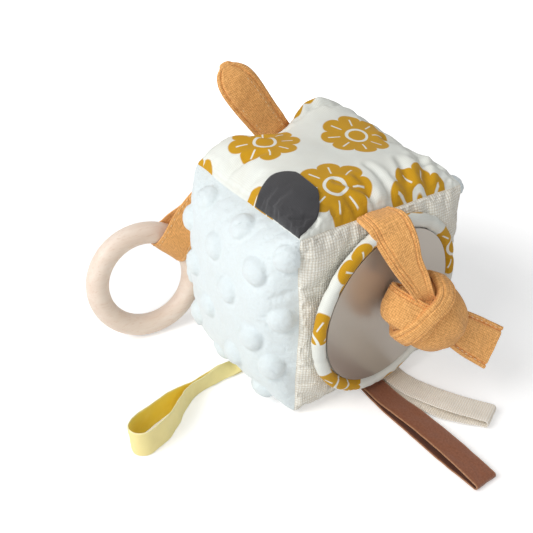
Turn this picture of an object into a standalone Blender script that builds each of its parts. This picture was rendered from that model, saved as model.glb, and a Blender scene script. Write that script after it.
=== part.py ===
"""A stuffed fabric activity block: six sewn panels round a soft core, a bound mirror,
a wooden ring in a strap loop, a knotted strap, a strap tab and three ribbon loops.

Metres, +Z up. The origin is the middle of the flat that the block stands on, and
the mirror faces -Y.
"""

import bmesh
import bpy
from math import cos, exp, pi, radians, sin, sqrt
from mathutils import Matrix, Vector

# The stuffed block, from seam to seam
BLOCK_WIDTH = 0.100
BLOCK_DEPTH = 0.090
BLOCK_HEIGHT = 0.1005
PANEL_THICKNESS = 0.0012
SEAM_DRAW = 0.0012
GAP = 0.0003
REST_FLAT_DEPTH = 0.0005
FILL_ROOM = 0.0006

# How far each panel puffs out past its seams, and how square its crown is
TOP_CROWN = 0.0160
LEFT_CROWN = 0.0155
RIGHT_CROWN = 0.0115
BACK_CROWN = 0.0130
FRONT_CROWN = 0.0050
BOTTOM_CROWN = 0.0030
ROUND_POWER = 3.0
SQUARE_POWER = 4.0
SHOULDER_POWER = 0.5
EDGE_CROWDING = 0.25

# Where the stuffing bulges further: how far it pushes the skin and how far round it reaches
REAR_RIGHT_BULGE = 0.0156
REAR_RIGHT_REACH = 0.0240
REAR_LEFT_BULGE = 0.0070
REAR_LEFT_REACH = 0.0185
RIGHT_SIDE_BULGE = 0.0048
RIGHT_SIDE_REACH = 0.0300
RIGHT_TOP_BULGE = 0.0036
RIGHT_TOP_REACH = 0.0240

# The dots of the plush panels, in staggered rows
DOT_DIAMETER = 0.0135
DOT_HEIGHT = 0.0027
DOT_PITCH_ALONG = 0.0380
DOT_PITCH_UP = 0.0430
DOT_ROWS_TURN = radians(8)
DOT_SHIFT_ALONG = 0.0020
DOT_SHIFT_UP = 0.0010
DOT_SEAM_SHARE = 0.80

# The mirror patch
MIRROR_RADIUS = 0.0415
MIRROR_THICKNESS = 0.0008
MIRROR_FACE_OUT = 0.0088
MIRROR_LIFT = 0.0005
MIRROR_YAW = radians(4)
BINDING_RADIUS = 0.0034
BACKING_THICKNESS = 0.0070

# The label patch, sewn into the left seam of the top panel
LABEL_WIDTH = 0.0360
LABEL_REACH = 0.0200
LABEL_LEAN = 0.0048
LABEL_THICKNESS = 0.0006
LABEL_FROM_FRONT = 0.0183
LABEL_EDGE_SHARE = 0.985
LABEL_STRAIGHT_SHARE = 0.35
LABEL_TIP_SHARE = 0.40

# The folded cotton strap that makes the tab, the ring loop and the knotted strap
STRAP_WIDTH = 0.0210
STRAP_LAYER = 0.0012
STRAP_DOUBLE = 0.0030
ROOT_SHARE = 0.25

TAB_LENGTH = 0.0510
TAB_FROM_LEFT = 0.0520
TAB_LEAN = radians(31)
TAB_TILT_BACK = radians(3)
TAB_OPENING = 0.0034

# The turned wooden ring, standing on its edge behind the back left corner
RING_OUTER_RADIUS = 0.0345
RING_BAR_RADIUS = 0.00625
RING_ASIDE = 0.0277
RING_BEHIND = 0.0166
RING_TURN = radians(-3.5)
RING_RISE = radians(7.9)
RING_HELD_RISE = radians(44.6)
RING_PLAY = 0.0020
RING_STRAP_HEIGHT = 0.0710

# The knot, lying on the mirror, and the strap's end past it. A turn is from straight
# ahead towards the right, and a rise is above the level.
KNOT_WIDTH = 0.0380
KNOT_HEIGHT = 0.0350
KNOT_DEPTH = 0.0230
KNOT_BAND = 0.0095
KNOT_ASIDE = 0.0090
KNOT_BEFORE_MIRROR = 0.0162
KNOT_BELOW_SEAM = 0.0470
KNOT_TURN = radians(-19.4)
KNOT_RISE = radians(25.5)
KNOT_ROOT_FROM_LEFT = 0.0410
KNOT_STRAP_END_TURN = radians(67.2)
KNOT_STRAP_END_RISE = radians(16.9)
TAIL_LENGTH = 0.0200
TAIL_TURN = radians(55.4)
TAIL_RISE = radians(-31.0)
TAIL_SIDE_TURN = radians(-58.5)
TAIL_SIDE_RISE = radians(-55.2)

# The ribbons: layer thickness, width, length past the seam and how far the loop opens
RIBBON_LAYER = 0.0008
YELLOW_WIDTH = 0.0150
YELLOW_LENGTH = 0.0705
YELLOW_OPENING = 0.0110
YELLOW_FROM_FRONT = 0.0463
BROWN_WIDTH = 0.0130
BROWN_LENGTH = 0.0810
BROWN_OPENING = 0.0020
BROWN_FROM_LEFT = 0.0470
CREAM_WIDTH = 0.0140
CREAM_LENGTH = 0.0565
CREAM_OPENING = 0.0034
CREAM_FROM_LEFT = 0.0615

# How finely the shapes are cut
CORE_SEGMENTS = 11
PLAIN_SEGMENTS = CORE_SEGMENTS
DOTTED_SEGMENTS = CORE_SEGMENTS * 2
CUTTER_SEGMENTS = CORE_SEGMENTS * 2
LOOP_STEPS = 3
FOLD_STEPS = 8

HALF = Vector((BLOCK_WIDTH / 2, BLOCK_DEPTH / 2, BLOCK_HEIGHT / 2))
SEAM_BOTTOM = BOTTOM_CROWN - REST_FLAT_DEPTH
SEAM_TOP = SEAM_BOTTOM + BLOCK_HEIGHT
CENTRE = Vector((0, 0, SEAM_BOTTOM + HALF.z))

RIGHT = Vector((1, 0, 0))
BACK = Vector((0, 1, 0))
UP = Vector((0, 0, 1))

# Each panel: the directions across, up and out of it, its crown and how square it is
FACES = {
    "top_panel": (RIGHT, BACK, UP, TOP_CROWN, ROUND_POWER),
    "bottom_panel": (RIGHT, -BACK, -UP, BOTTOM_CROWN, SQUARE_POWER),
    "front_panel": (RIGHT, UP, -BACK, FRONT_CROWN, SQUARE_POWER),
    "back_panel": (-RIGHT, UP, BACK, BACK_CROWN, ROUND_POWER),
    "right_panel": (BACK, UP, RIGHT, RIGHT_CROWN, ROUND_POWER),
    "left_panel": (-BACK, UP, -RIGHT, LEFT_CROWN, ROUND_POWER),
}
DOTTED_PANELS = ("left_panel", "right_panel")

# Each bulge: its place in shares of the half sizes, where it pushes to, how far, its reach
BULGES = (
    (Vector((0.54, 0.98, 1.14)), Vector((0, 0.28, 0.96)), REAR_RIGHT_BULGE, REAR_RIGHT_REACH),
    (Vector((-0.64, 0.90, 1.12)), Vector((-0.14, 0.08, 0.98)), REAR_LEFT_BULGE, REAR_LEFT_REACH),
    (Vector((1.12, -0.44, -0.05)), Vector((0.96, -0.29, 0)), RIGHT_SIDE_BULGE, RIGHT_SIDE_REACH),
    (Vector((0.88, 0.22, 1.10)), Vector((0.38, 0, 0.92)), RIGHT_TOP_BULGE, RIGHT_TOP_REACH),
)


def clear_scene():
    for item in list(bpy.data.objects):
        bpy.data.objects.remove(item, do_unlink=True)


def make_collection(name):
    group = bpy.data.collections.new(name)
    bpy.context.scene.collection.children.link(group)
    return group


def make_material(name, colour, roughness, metallic=0.0):
    material = bpy.data.materials.new(name)
    material.use_nodes = True
    shader = material.node_tree.nodes["Principled BSDF"]
    shader.inputs["Base Color"].default_value = (*colour, 1.0)
    shader.inputs["Roughness"].default_value = roughness
    shader.inputs["Metallic"].default_value = metallic
    return material


def make_object(name, bm, material, group, origin=Vector()):
    """Turn a bmesh into an object with outward faces and its origin at the given place."""
    bmesh.ops.translate(bm, verts=bm.verts[:], vec=-origin)
    bmesh.ops.recalc_face_normals(bm, faces=bm.faces[:])
    if bm.calc_volume(signed=True) < 0:
        bmesh.ops.reverse_faces(bm, faces=bm.faces[:])
    mesh = bpy.data.meshes.new(name)
    bm.to_mesh(mesh)
    bm.free()
    mesh.shade_smooth()
    mesh.set_sharp_from_angle(angle=radians(50))
    item = bpy.data.objects.new(name, mesh)
    item.location = origin
    item.data.materials.append(material)
    group.objects.link(item)
    return item


def carry(carrier, item):
    """Hang an item on the piece that carries it, without moving it."""
    item.parent = carrier
    item.location -= carrier.location


def cut(item, cutter):
    step = item.modifiers.new("cut_" + cutter.name, "BOOLEAN")
    step.operation = "DIFFERENCE"
    step.solver = "EXACT"
    step.object = cutter


def join_on(item, other):
    step = item.modifiers.new("join_" + other.name, "BOOLEAN")
    step.operation = "UNION"
    step.solver = "EXACT"
    step.object = other


def hide_helper(item):
    item.hide_render = True
    item.display_type = "WIRE"


# The puffed surface of the block


def swell(share, power):
    return (1 - min(1, abs(share)) ** power) ** SHOULDER_POWER


def crowd_edges(share):
    """Move a place, from -1 to 1, so that even steps get finer towards the seams."""
    return share * (1 + EDGE_CROWDING * (1 - share * share))


def dot_places(face):
    """Where the plush dots stand on a panel."""
    across, upwards = FACES[face][:2]
    places = []
    for row in range(-5, 6):
        for column in range(-3, 4):
            along = (column + row % 2 / 2) * DOT_PITCH_ALONG + DOT_SHIFT_ALONG
            up = row * DOT_PITCH_UP / 2 + DOT_SHIFT_UP
            u = (along * cos(DOT_ROWS_TURN) - up * sin(DOT_ROWS_TURN)) / abs(across.dot(HALF))
            v = (up * cos(DOT_ROWS_TURN) + along * sin(DOT_ROWS_TURN)) / abs(upwards.dot(HALF))
            if max(abs(u), abs(v)) < DOT_SEAM_SHARE:
                places.append(skin_point(face, u, v, 0))
    return places


def raise_dots(face, verts):
    """Raise a dome round the point nearest to each dot's place."""
    tops = [min(verts, key=lambda vert: (vert.co - place).length).co.copy() for place in dot_places(face)]
    for vert in verts:
        share = min((vert.co - top).length for top in tops) / (DOT_DIAMETER / 2)
        if share < 1:
            vert.co += FACES[face][2] * (DOT_HEIGHT * sqrt(1 - share * share))


def puffed_point(face, u, v, depth):
    """The evenly puffed block at (u, v), each from -1 to 1, taken in by depth."""
    across, up, out, crown, power = FACES[face]
    half_across = abs(across.dot(HALF)) - depth
    half_up = abs(up.dot(HALF)) - depth
    half_out = abs(out.dot(HALF)) - depth
    near_side = abs(u) ** SQUARE_POWER * SEAM_DRAW * (1 - v * v)
    near_end = abs(v) ** SQUARE_POWER * SEAM_DRAW * (1 - u * u)
    puff = crown * swell(u, power) * swell(v, power)
    side_sign = 1 if u > 0 else -1
    end_sign = 1 if v > 0 else -1
    point = CENTRE + across * (u * half_across - side_sign * near_side)
    point += up * (v * half_up - end_sign * near_end)
    point += out * (half_out + puff - near_side - near_end)
    return point


def skin_point(face, u, v, depth):
    """The block's surface, with the bulges of its stuffing added."""
    point = puffed_point(face, u, v, depth)
    outside = puffed_point(face, u, v, 0) - CENTRE
    for shares, towards, push, reach in BULGES:
        away = outside - shares * HALF
        point += towards * (push * exp(-(away.length / reach) ** 2))
    return point


def split_alike(bm):
    """Split each square across its shorter diagonal, so that nested skins bend alike."""
    bmesh.ops.triangulate(bm, faces=bm.faces[:], quad_method="SHORT_EDGE")


def make_panel(face, segments, material, group):
    """A sewn square: outer and inner layer between seams that stop just short of the edges."""
    seam_step = GAP / sqrt(2)
    across, up = FACES[face][:2]
    reach_u = 1 - seam_step / abs(across.dot(HALF))
    reach_v = 1 - seam_step / abs(up.dot(HALF))
    bm = bmesh.new()
    bmesh.ops.create_grid(bm, x_segments=segments, y_segments=segments, size=1)
    inner = bm.verts[:]
    grown = bmesh.ops.extrude_face_region(bm, geom=bm.faces[:])
    outer = [item for item in grown["geom"] if isinstance(item, bmesh.types.BMVert)]
    for layer, depth in ((inner, PANEL_THICKNESS), (outer, 0)):
        for vert in layer:
            u = crowd_edges(vert.co.x) * reach_u
            v = crowd_edges(vert.co.y) * reach_v
            vert.co = skin_point(face, u, v, depth)
    if face in DOTTED_PANELS:
        raise_dots(face, outer)
    for vert in outer:
        vert.co.z = max(0, vert.co.z)
    split_alike(bm)
    return make_object(face, bm, material, group)


def make_puffed_body(name, segments, depth, material, group):
    """The whole block's form as one closed body, taken in by depth."""
    bm = bmesh.new()
    bmesh.ops.create_cube(bm, size=2)
    bmesh.ops.subdivide_edges(bm, edges=bm.edges[:], cuts=segments - 1, use_grid_fill=True)
    for vert in bm.verts:
        place = vert.co.copy()
        face = max(FACES, key=lambda name: place.dot(FACES[name][2]))
        across, up = FACES[face][:2]
        vert.co = skin_point(face, crowd_edges(place.dot(across)), crowd_edges(place.dot(up)), depth)
    split_alike(bm)
    return make_object(name, bm, material, group)


# Straps and ribbons


def smooth_through(values, steps):
    """Values on a smooth curve through the given ones."""
    result = []
    last = len(values) - 1
    for index in range(last):
        before = values[max(0, index - 1)]
        start = values[index]
        end = values[index + 1]
        after = values[min(last, index + 2)]
        for step in range(steps):
            t = step / steps
            pull_start = (end - before) * (t**3 - 2 * t**2 + t) / 2
            pull_end = (after - start) * (t**3 - t**2) / 2
            result.append(start + (end - start) * (3 * t**2 - 2 * t**3) + pull_start + pull_end)
    result.append(values[last])
    return result


def make_strip(name, points, across, width, thickness, material, group, root_share=1):
    """A flat band whose middle runs through the points; its origin is where it is sewn in.

    There it is pressed to the given share of its thickness.
    """
    last = len(points) - 1
    bm = bmesh.new()
    bmesh.ops.create_grid(bm, x_segments=last, y_segments=1, size=1)
    root = []
    for number, vert in enumerate(bm.verts):
        index = round((vert.co.x + 1) / 2 * last)
        vert.co = points[index] + across[index] * (vert.co.y * width / 2)
        if index == 0:
            root.append(number)
    count = len(bm.verts)
    item = make_object(name, bm, material, group, points[0])
    fullness = item.vertex_groups.new(name="fullness")
    fullness.add(range(count), 1, "REPLACE")
    fullness.add(root, root_share, "REPLACE")
    wall = item.modifiers.new("wall", "SOLIDIFY")
    wall.thickness = thickness
    wall.offset = 0
    wall.use_even_offset = True
    wall.vertex_group = fullness.name
    return item


def make_loop(name, spine, across, half_gaps, width, thickness, material, group):
    """A band that runs out along one side of the spine, folds over and comes back."""
    middle = smooth_through(spine, LOOP_STEPS)
    sides = smooth_through(across, LOOP_STEPS)
    gaps = smooth_through(half_gaps, LOOP_STEPS)
    last = len(middle) - 1
    tangents = []
    for index in range(last + 1):
        ahead = middle[min(last, index + 1)] - middle[max(0, index - 1)]
        tangents.append(ahead.normalized())
    offs = [t.cross(s).normalized() * g for t, s, g in zip(tangents, sides, gaps)]
    out_points = [m - off for m, off in zip(middle, offs)]
    back_points = [m + off for m, off in zip(middle, offs)]
    onwards = sides[last].cross(offs[last]).normalized() * gaps[last]
    fold = []
    for step in range(1, FOLD_STEPS):
        angle = pi * step / FOLD_STEPS
        fold.append(middle[last] - offs[last] * cos(angle) + onwards * sin(angle))
    points = out_points + fold + back_points[::-1]
    all_sides = sides + [sides[last]] * len(fold) + sides[::-1]
    return make_strip(name, points, all_sides, width, thickness, material, group)


def pressed_half_gap(layer):
    """From the middle of a loop to the middle of either layer, where the two are pressed flat."""
    return (layer + GAP) / 2


def seam_pivot(face, u, v, outward, half_thickness):
    """The line that a sewn-in piece folds about, just outside its seam."""
    return skin_point(face, u, v, 0) + outward.normalized() * (half_thickness + GAP * 3)


def share_of(distance, whole):
    """A distance from the low end of a side, as -1 to 1."""
    return distance / whole * 2 - 1


def direction(turn, rise):
    """Straight ahead of the mirror, turned towards the right and raised by the given angles."""
    return (RIGHT * sin(turn) - BACK * cos(turn)) * cos(rise) + UP * sin(rise)


# Places that the straps and joints share
STRAP_HALF = STRAP_LAYER + GAP / 2
RIBBON_HALF = RIBBON_LAYER + GAP / 2

# The seam rises under the tab, which is sewn in along the straight line between its corners
TAB_LEFT_SHARE = share_of(TAB_FROM_LEFT - STRAP_WIDTH / 2, BLOCK_WIDTH)
TAB_RIGHT_SHARE = share_of(TAB_FROM_LEFT + STRAP_WIDTH / 2, BLOCK_WIDTH)
TAB_LEFT_END = seam_pivot("top_panel", TAB_LEFT_SHARE, 1, BACK + UP, STRAP_HALF)
TAB_RIGHT_END = seam_pivot("top_panel", TAB_RIGHT_SHARE, 1, BACK + UP, STRAP_HALF)
TAB_PIVOT = (TAB_LEFT_END + TAB_RIGHT_END) / 2
TAB_ALONG_SEAM = (TAB_RIGHT_END - TAB_LEFT_END).normalized()
KNOT_STRAP_PIVOT = seam_pivot(
    "top_panel", share_of(KNOT_ROOT_FROM_LEFT, BLOCK_WIDTH), -1, UP - BACK, STRAP_DOUBLE * ROOT_SHARE / 2
)
RING_STRAP_PIVOT = seam_pivot(
    "left_panel", -1, share_of(RING_STRAP_HEIGHT - SEAM_BOTTOM, BLOCK_HEIGHT), BACK - RIGHT, STRAP_HALF
)
YELLOW_PIVOT = seam_pivot(
    "bottom_panel", -1, -share_of(YELLOW_FROM_FRONT, BLOCK_DEPTH), -RIGHT - UP, RIBBON_HALF
)
BROWN_PIVOT = seam_pivot(
    "bottom_panel", share_of(BROWN_FROM_LEFT, BLOCK_WIDTH), 1, -BACK - UP, RIBBON_HALF
)
CREAM_PIVOT = seam_pivot(
    "bottom_panel", share_of(CREAM_FROM_LEFT, BLOCK_WIDTH), 1, -BACK - UP, RIBBON_HALF
)

RING_FACING = direction(RING_TURN, RING_RISE)
RING_HELD_TOWARDS = RIGHT * cos(RING_HELD_RISE) + UP * sin(RING_HELD_RISE)
RING_MIDDLE_RADIUS = RING_OUTER_RADIUS - RING_BAR_RADIUS
RING_CENTRE = Vector((
    -HALF.x - RING_ASIDE,
    HALF.y + RING_BEHIND,
    RING_MIDDLE_RADIUS * sqrt(1 - RING_FACING.z**2) + RING_BAR_RADIUS,
))
RING_HELD = (RING_HELD_TOWARDS - RING_FACING * RING_HELD_TOWARDS.dot(RING_FACING)).normalized()
RING_PIVOT = RING_CENTRE + RING_HELD * RING_MIDDLE_RADIUS
RING_TANGENT = RING_HELD.cross(RING_FACING).normalized()

KNOT_PLACE = Vector((
    KNOT_ASIDE,
    -HALF.y - MIRROR_FACE_OUT - KNOT_BEFORE_MIRROR,
    SEAM_TOP - KNOT_BELOW_SEAM,
))
KNOT_FACING = direction(KNOT_TURN, KNOT_RISE)
TAIL_TOWARDS = direction(TAIL_TURN, TAIL_RISE)
TAIL_PIVOT = KNOT_PLACE + TAIL_TOWARDS * (KNOT_WIDTH / 2 + GAP)


def mirror_frame(out):
    """A place on the mirror's axis: local z points out of the mirror."""
    facing = Vector((sin(MIRROR_YAW), -cos(MIRROR_YAW), 0))
    middle = CENTRE + UP * MIRROR_LIFT - BACK * (HALF.y + MIRROR_FACE_OUT) + facing * out
    turn = Matrix((Vector((cos(MIRROR_YAW), sin(MIRROR_YAW), 0)), UP, facing)).transposed()
    return Matrix.Translation(middle) @ turn.to_4x4()


def make_disc(name, radius, thickness, front, material, group):
    bm = bmesh.new()
    bmesh.ops.create_cone(
        bm, cap_ends=True, segments=48, radius1=radius, radius2=radius, depth=thickness,
        matrix=mirror_frame(front - thickness / 2),
    )
    return make_object(name, bm, material, group)


def make_torus(name, frame, ring_radius, bar_radius, steps, bar_steps, material, group, origin=Vector()):
    """A ring turned from a round bar: a circle spun about the frame's z axis."""
    bm = bmesh.new()
    stand = Matrix.Translation((ring_radius, 0, 0)) @ Matrix.Rotation(pi / 2, 4, "X")
    bmesh.ops.create_circle(bm, segments=bar_steps, radius=bar_radius, matrix=stand)
    bmesh.ops.spin(
        bm, geom=bm.verts[:] + bm.edges[:], cent=(0, 0, 0), axis=(0, 0, 1), angle=2 * pi,
        steps=steps, use_merge=True,
    )
    bmesh.ops.transform(bm, matrix=frame, verts=bm.verts[:])
    return make_object(name, bm, material, group, origin)


def make_mirror(materials, cutter, group):
    binding_ring = MIRROR_RADIUS + GAP + BINDING_RADIUS
    make_disc("mirror_disc", MIRROR_RADIUS, MIRROR_THICKNESS, 0, materials["mirror"], group)
    backing = make_disc(
        "mirror_backing", MIRROR_RADIUS, BACKING_THICKNESS, -MIRROR_THICKNESS - GAP,
        materials["wadding"], group,
    )
    binding = make_torus(
        "mirror_binding", mirror_frame(-BINDING_RADIUS / 2), binding_ring, BINDING_RADIUS,
        48, 10, materials["print"], group,
    )
    cut(backing, cutter)
    cut(binding, cutter)


def make_label(material, group):
    """An arched patch that follows the top panel's crown from its left seam."""
    bm = bmesh.new()
    bmesh.ops.create_grid(bm, x_segments=8, y_segments=8, size=1)
    inner = bm.verts[:]
    grown = bmesh.ops.extrude_face_region(bm, geom=bm.faces[:])
    outer = [item for item in grown["geom"] if isinstance(item, bmesh.types.BMVert)]
    for layer, lift in ((inner, GAP), (outer, GAP + LABEL_THICKNESS)):
        for vert in layer:
            reach = (vert.co.x + 1) / 2
            rounding = max(0, (reach - LABEL_STRAIGHT_SHARE) / (1 - LABEL_STRAIGHT_SHARE))
            half_width = sqrt(1 - rounding**2 * (1 - LABEL_TIP_SHARE**2)) * LABEL_WIDTH / 2
            x = -HALF.x * LABEL_EDGE_SHARE + reach * LABEL_REACH
            y = -HALF.y + LABEL_FROM_FRONT + reach * LABEL_LEAN + vert.co.y * half_width
            v = max(-LABEL_EDGE_SHARE, y / HALF.y)
            vert.co = skin_point("top_panel", x / HALF.x, v, -lift)
    return make_object("label_patch", bm, material, group)


def make_tab(material, group):
    lean = Vector((-sin(TAB_LEAN), sin(TAB_TILT_BACK), cos(TAB_LEAN))).normalized()
    side = Vector((cos(TAB_LEAN), 0, sin(TAB_LEAN)))
    along_shares = (0, 0.25, 0.5, 0.75, 0.9, 1)
    bow_shares = (0, -0.02, -0.03, -0.02, 0, 0.01)
    opening_shares = (0, 0.1, 0.55, 1.0, 0.95, 0.8)
    pressed = pressed_half_gap(STRAP_LAYER)
    spine = []
    for along, bow in zip(along_shares, bow_shares):
        spine.append(TAB_PIVOT + lean * (along * TAB_LENGTH) + side * (bow * TAB_LENGTH))
    across = [TAB_ALONG_SEAM] + [side * share for share in (1, 1.03, 1, 0.86, 0.5)]
    gaps = [pressed + share * TAB_OPENING / 2 for share in opening_shares]
    make_loop("top_tab", spine, across, gaps, STRAP_WIDTH, STRAP_LAYER, material, group)


def make_ring_and_strap(materials, group):
    turn = Matrix((RING_HELD, RING_FACING.cross(RING_HELD), RING_FACING)).transposed()
    frame = Matrix.Translation(RING_CENTRE) @ turn.to_4x4()
    ring = make_torus(
        "wooden_ring", frame, RING_MIDDLE_RADIUS, RING_BAR_RADIUS, 36, 12, materials["wood"], group,
        RING_PIVOT,
    )
    # The bar bends towards the ring's middle across the strap's width, so the loop sits
    # half that bend further in
    bend = RING_MIDDLE_RADIUS - sqrt(RING_MIDDLE_RADIUS**2 - (STRAP_WIDTH / 2) ** 2)
    fold = RING_PIVOT - RING_HELD * (bend / 2)
    reach = fold - RING_STRAP_PIVOT
    slant = UP * (1 / sqrt(1 - reach.normalized().z ** 2))
    side = RING_TANGENT if RING_TANGENT.z > 0 else -RING_TANGENT
    reach_shares = (0, 0.2, 0.5, 0.75, 1)
    opening_shares = (0, 0.12, 0.55, 0.9, 1)
    turn_shares = (0, 0.15, 0.55, 0.9, 1)
    pressed = pressed_half_gap(STRAP_LAYER)
    open_gap = RING_BAR_RADIUS + RING_PLAY + STRAP_LAYER / 2
    spine = [RING_STRAP_PIVOT + reach * share for share in reach_shares]
    across = [slant.lerp(side, share) for share in turn_shares]
    gaps = [pressed + (open_gap - pressed) * share for share in opening_shares]
    strap = make_loop(
        "ring_strap", spine, across, gaps, STRAP_WIDTH, STRAP_LAYER, materials["strap"], group
    )
    carry(strap, ring)


def knot_frame():
    """Local z faces out of the knot and local x runs towards the tail."""
    along = (TAIL_TOWARDS - KNOT_FACING * TAIL_TOWARDS.dot(KNOT_FACING)).normalized()
    turn = Matrix((along, KNOT_FACING.cross(along), KNOT_FACING)).transposed()
    return Matrix.Translation(KNOT_PLACE) @ turn.to_4x4()


def make_knot(material, group, helpers):
    """A rounded body with the strap's turn wrapped across its front."""
    frame = knot_frame()
    bm = bmesh.new()
    bmesh.ops.create_uvsphere(bm, u_segments=20, v_segments=12, radius=1)
    size = Matrix.Diagonal((KNOT_WIDTH / 2, KNOT_HEIGHT / 2, KNOT_DEPTH / 2 - KNOT_BAND / 4, 1))
    bmesh.ops.transform(bm, matrix=frame @ size, verts=bm.verts[:])
    knot = make_object("knot", bm, material, group, KNOT_PLACE)
    turn = Matrix.Rotation(radians(35), 4, "Z") @ Matrix.Rotation(pi / 2, 4, "X")
    flatten = Matrix.Diagonal((1, KNOT_DEPTH / KNOT_HEIGHT, 1, 1))
    band_frame = frame @ turn @ flatten
    band = make_torus(
        "knot_band", band_frame, (KNOT_HEIGHT - KNOT_BAND) / 2, KNOT_BAND / 2, 24, 8, material, helpers
    )
    hide_helper(band)
    join_on(knot, band)
    return knot


def make_knot_strap(material, group):
    end = KNOT_PLACE + Vector((-0.07 * KNOT_WIDTH, 0.20 * KNOT_HEIGHT, 0.50 * KNOT_HEIGHT))
    fall = end - KNOT_STRAP_PIVOT
    along_shares = (0, 0.16, 0.42, 0.72, 1)
    bow_shares = (0, 0.16, 0.22, 0.10, 0)
    spine = []
    for along, bow in zip(along_shares, bow_shares):
        spine.append(KNOT_STRAP_PIVOT + fall * along + (UP - BACK) * (bow * fall.length))
    end_side = direction(KNOT_STRAP_END_TURN, KNOT_STRAP_END_RISE)
    narrowing_shares = (1, 1, 0.95, 0.85, 0.7)
    across = [RIGHT.lerp(end_side, share) for share in (0, 0, 0.3, 0.8, 1)]
    across = [side * share for side, share in zip(across, narrowing_shares)]
    points = smooth_through(spine, LOOP_STEPS)
    sides = smooth_through(across, LOOP_STEPS)
    return make_strip(
        "knot_strap", points, sides, STRAP_WIDTH, STRAP_DOUBLE, material, group, ROOT_SHARE
    )


def make_knot_tail(material, group):
    side = direction(TAIL_SIDE_TURN, TAIL_SIDE_RISE)
    side = (side - TAIL_TOWARDS * side.dot(TAIL_TOWARDS)).normalized()
    sag = TAIL_TOWARDS.cross(side)
    spine = []
    for along, bow in ((0, 0), (0.35, 0.03), (0.7, 0.04), (1, 0)):
        spine.append(TAIL_PIVOT + TAIL_TOWARDS * (along * TAIL_LENGTH) + sag * (bow * TAIL_LENGTH))
    points = smooth_through(spine, LOOP_STEPS)
    sides = [side] * len(points)
    return make_strip(
        "knot_tail", points, sides, STRAP_WIDTH, STRAP_DOUBLE, material, group, ROOT_SHARE
    )


def make_yellow_ribbon(material, group):
    """Leaves the seam flat, turns up on its edge and stands there as an open loop."""
    along_shares = (0, 0.16, 0.32, 0.49, 0.66, 0.83, 1)
    aside_shares = (0, -0.02, -0.05, -0.10, -0.19, -0.27, -0.33)
    turn_shares = (0, 0.05, 0.80, 1, 1, 1, 1)
    opening_shares = (0, 0, 0, 0.04, 0.40, 0.85, 1)
    pressed = pressed_half_gap(RIBBON_LAYER)
    spine = []
    across = []
    gaps = []
    for along, aside, turn, opening in zip(along_shares, aside_shares, turn_shares, opening_shares):
        angle = turn * pi / 2
        half_gap = pressed + opening * (YELLOW_OPENING / 2)
        height = YELLOW_WIDTH / 2 * sin(angle) + (half_gap + RIBBON_LAYER / 2) * cos(angle) + GAP
        place = YELLOW_PIVOT - RIGHT * (along * YELLOW_LENGTH) + BACK * (aside * YELLOW_LENGTH)
        place.z = YELLOW_PIVOT.z if along == 0 else height
        spine.append(place)
        across.append(BACK * cos(angle) + UP * sin(angle))
        gaps.append(half_gap)
    make_loop("yellow_ribbon", spine, across, gaps, YELLOW_WIDTH, RIBBON_LAYER, material, group)


def make_flat_ribbon(name, pivot, length, width, opening, aside_shares, rise_shares, material, group):
    """A loop that lies on the table in front of the block."""
    opening_shares = (0, 0.2, 0.7, 1, 0.8)
    pressed = pressed_half_gap(RIBBON_LAYER)
    spine = []
    gaps = []
    last = len(aside_shares) - 1
    for index in range(last + 1):
        half_gap = pressed + opening_shares[index] * opening / 2
        place = pivot - BACK * (index / last * length) + RIGHT * (aside_shares[index] * length)
        lowest = half_gap + RIBBON_LAYER / 2 + GAP
        place.z = pivot.z if index == 0 else lowest + rise_shares[index] * width
        spine.append(place)
        gaps.append(half_gap)
    ends = spine[last] - spine[1]
    side = Vector((-ends.y, ends.x, 0)).normalized()
    across = [RIGHT] + [side] * last
    make_loop(name, spine, across, gaps, width, RIBBON_LAYER, material, group)


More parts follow.
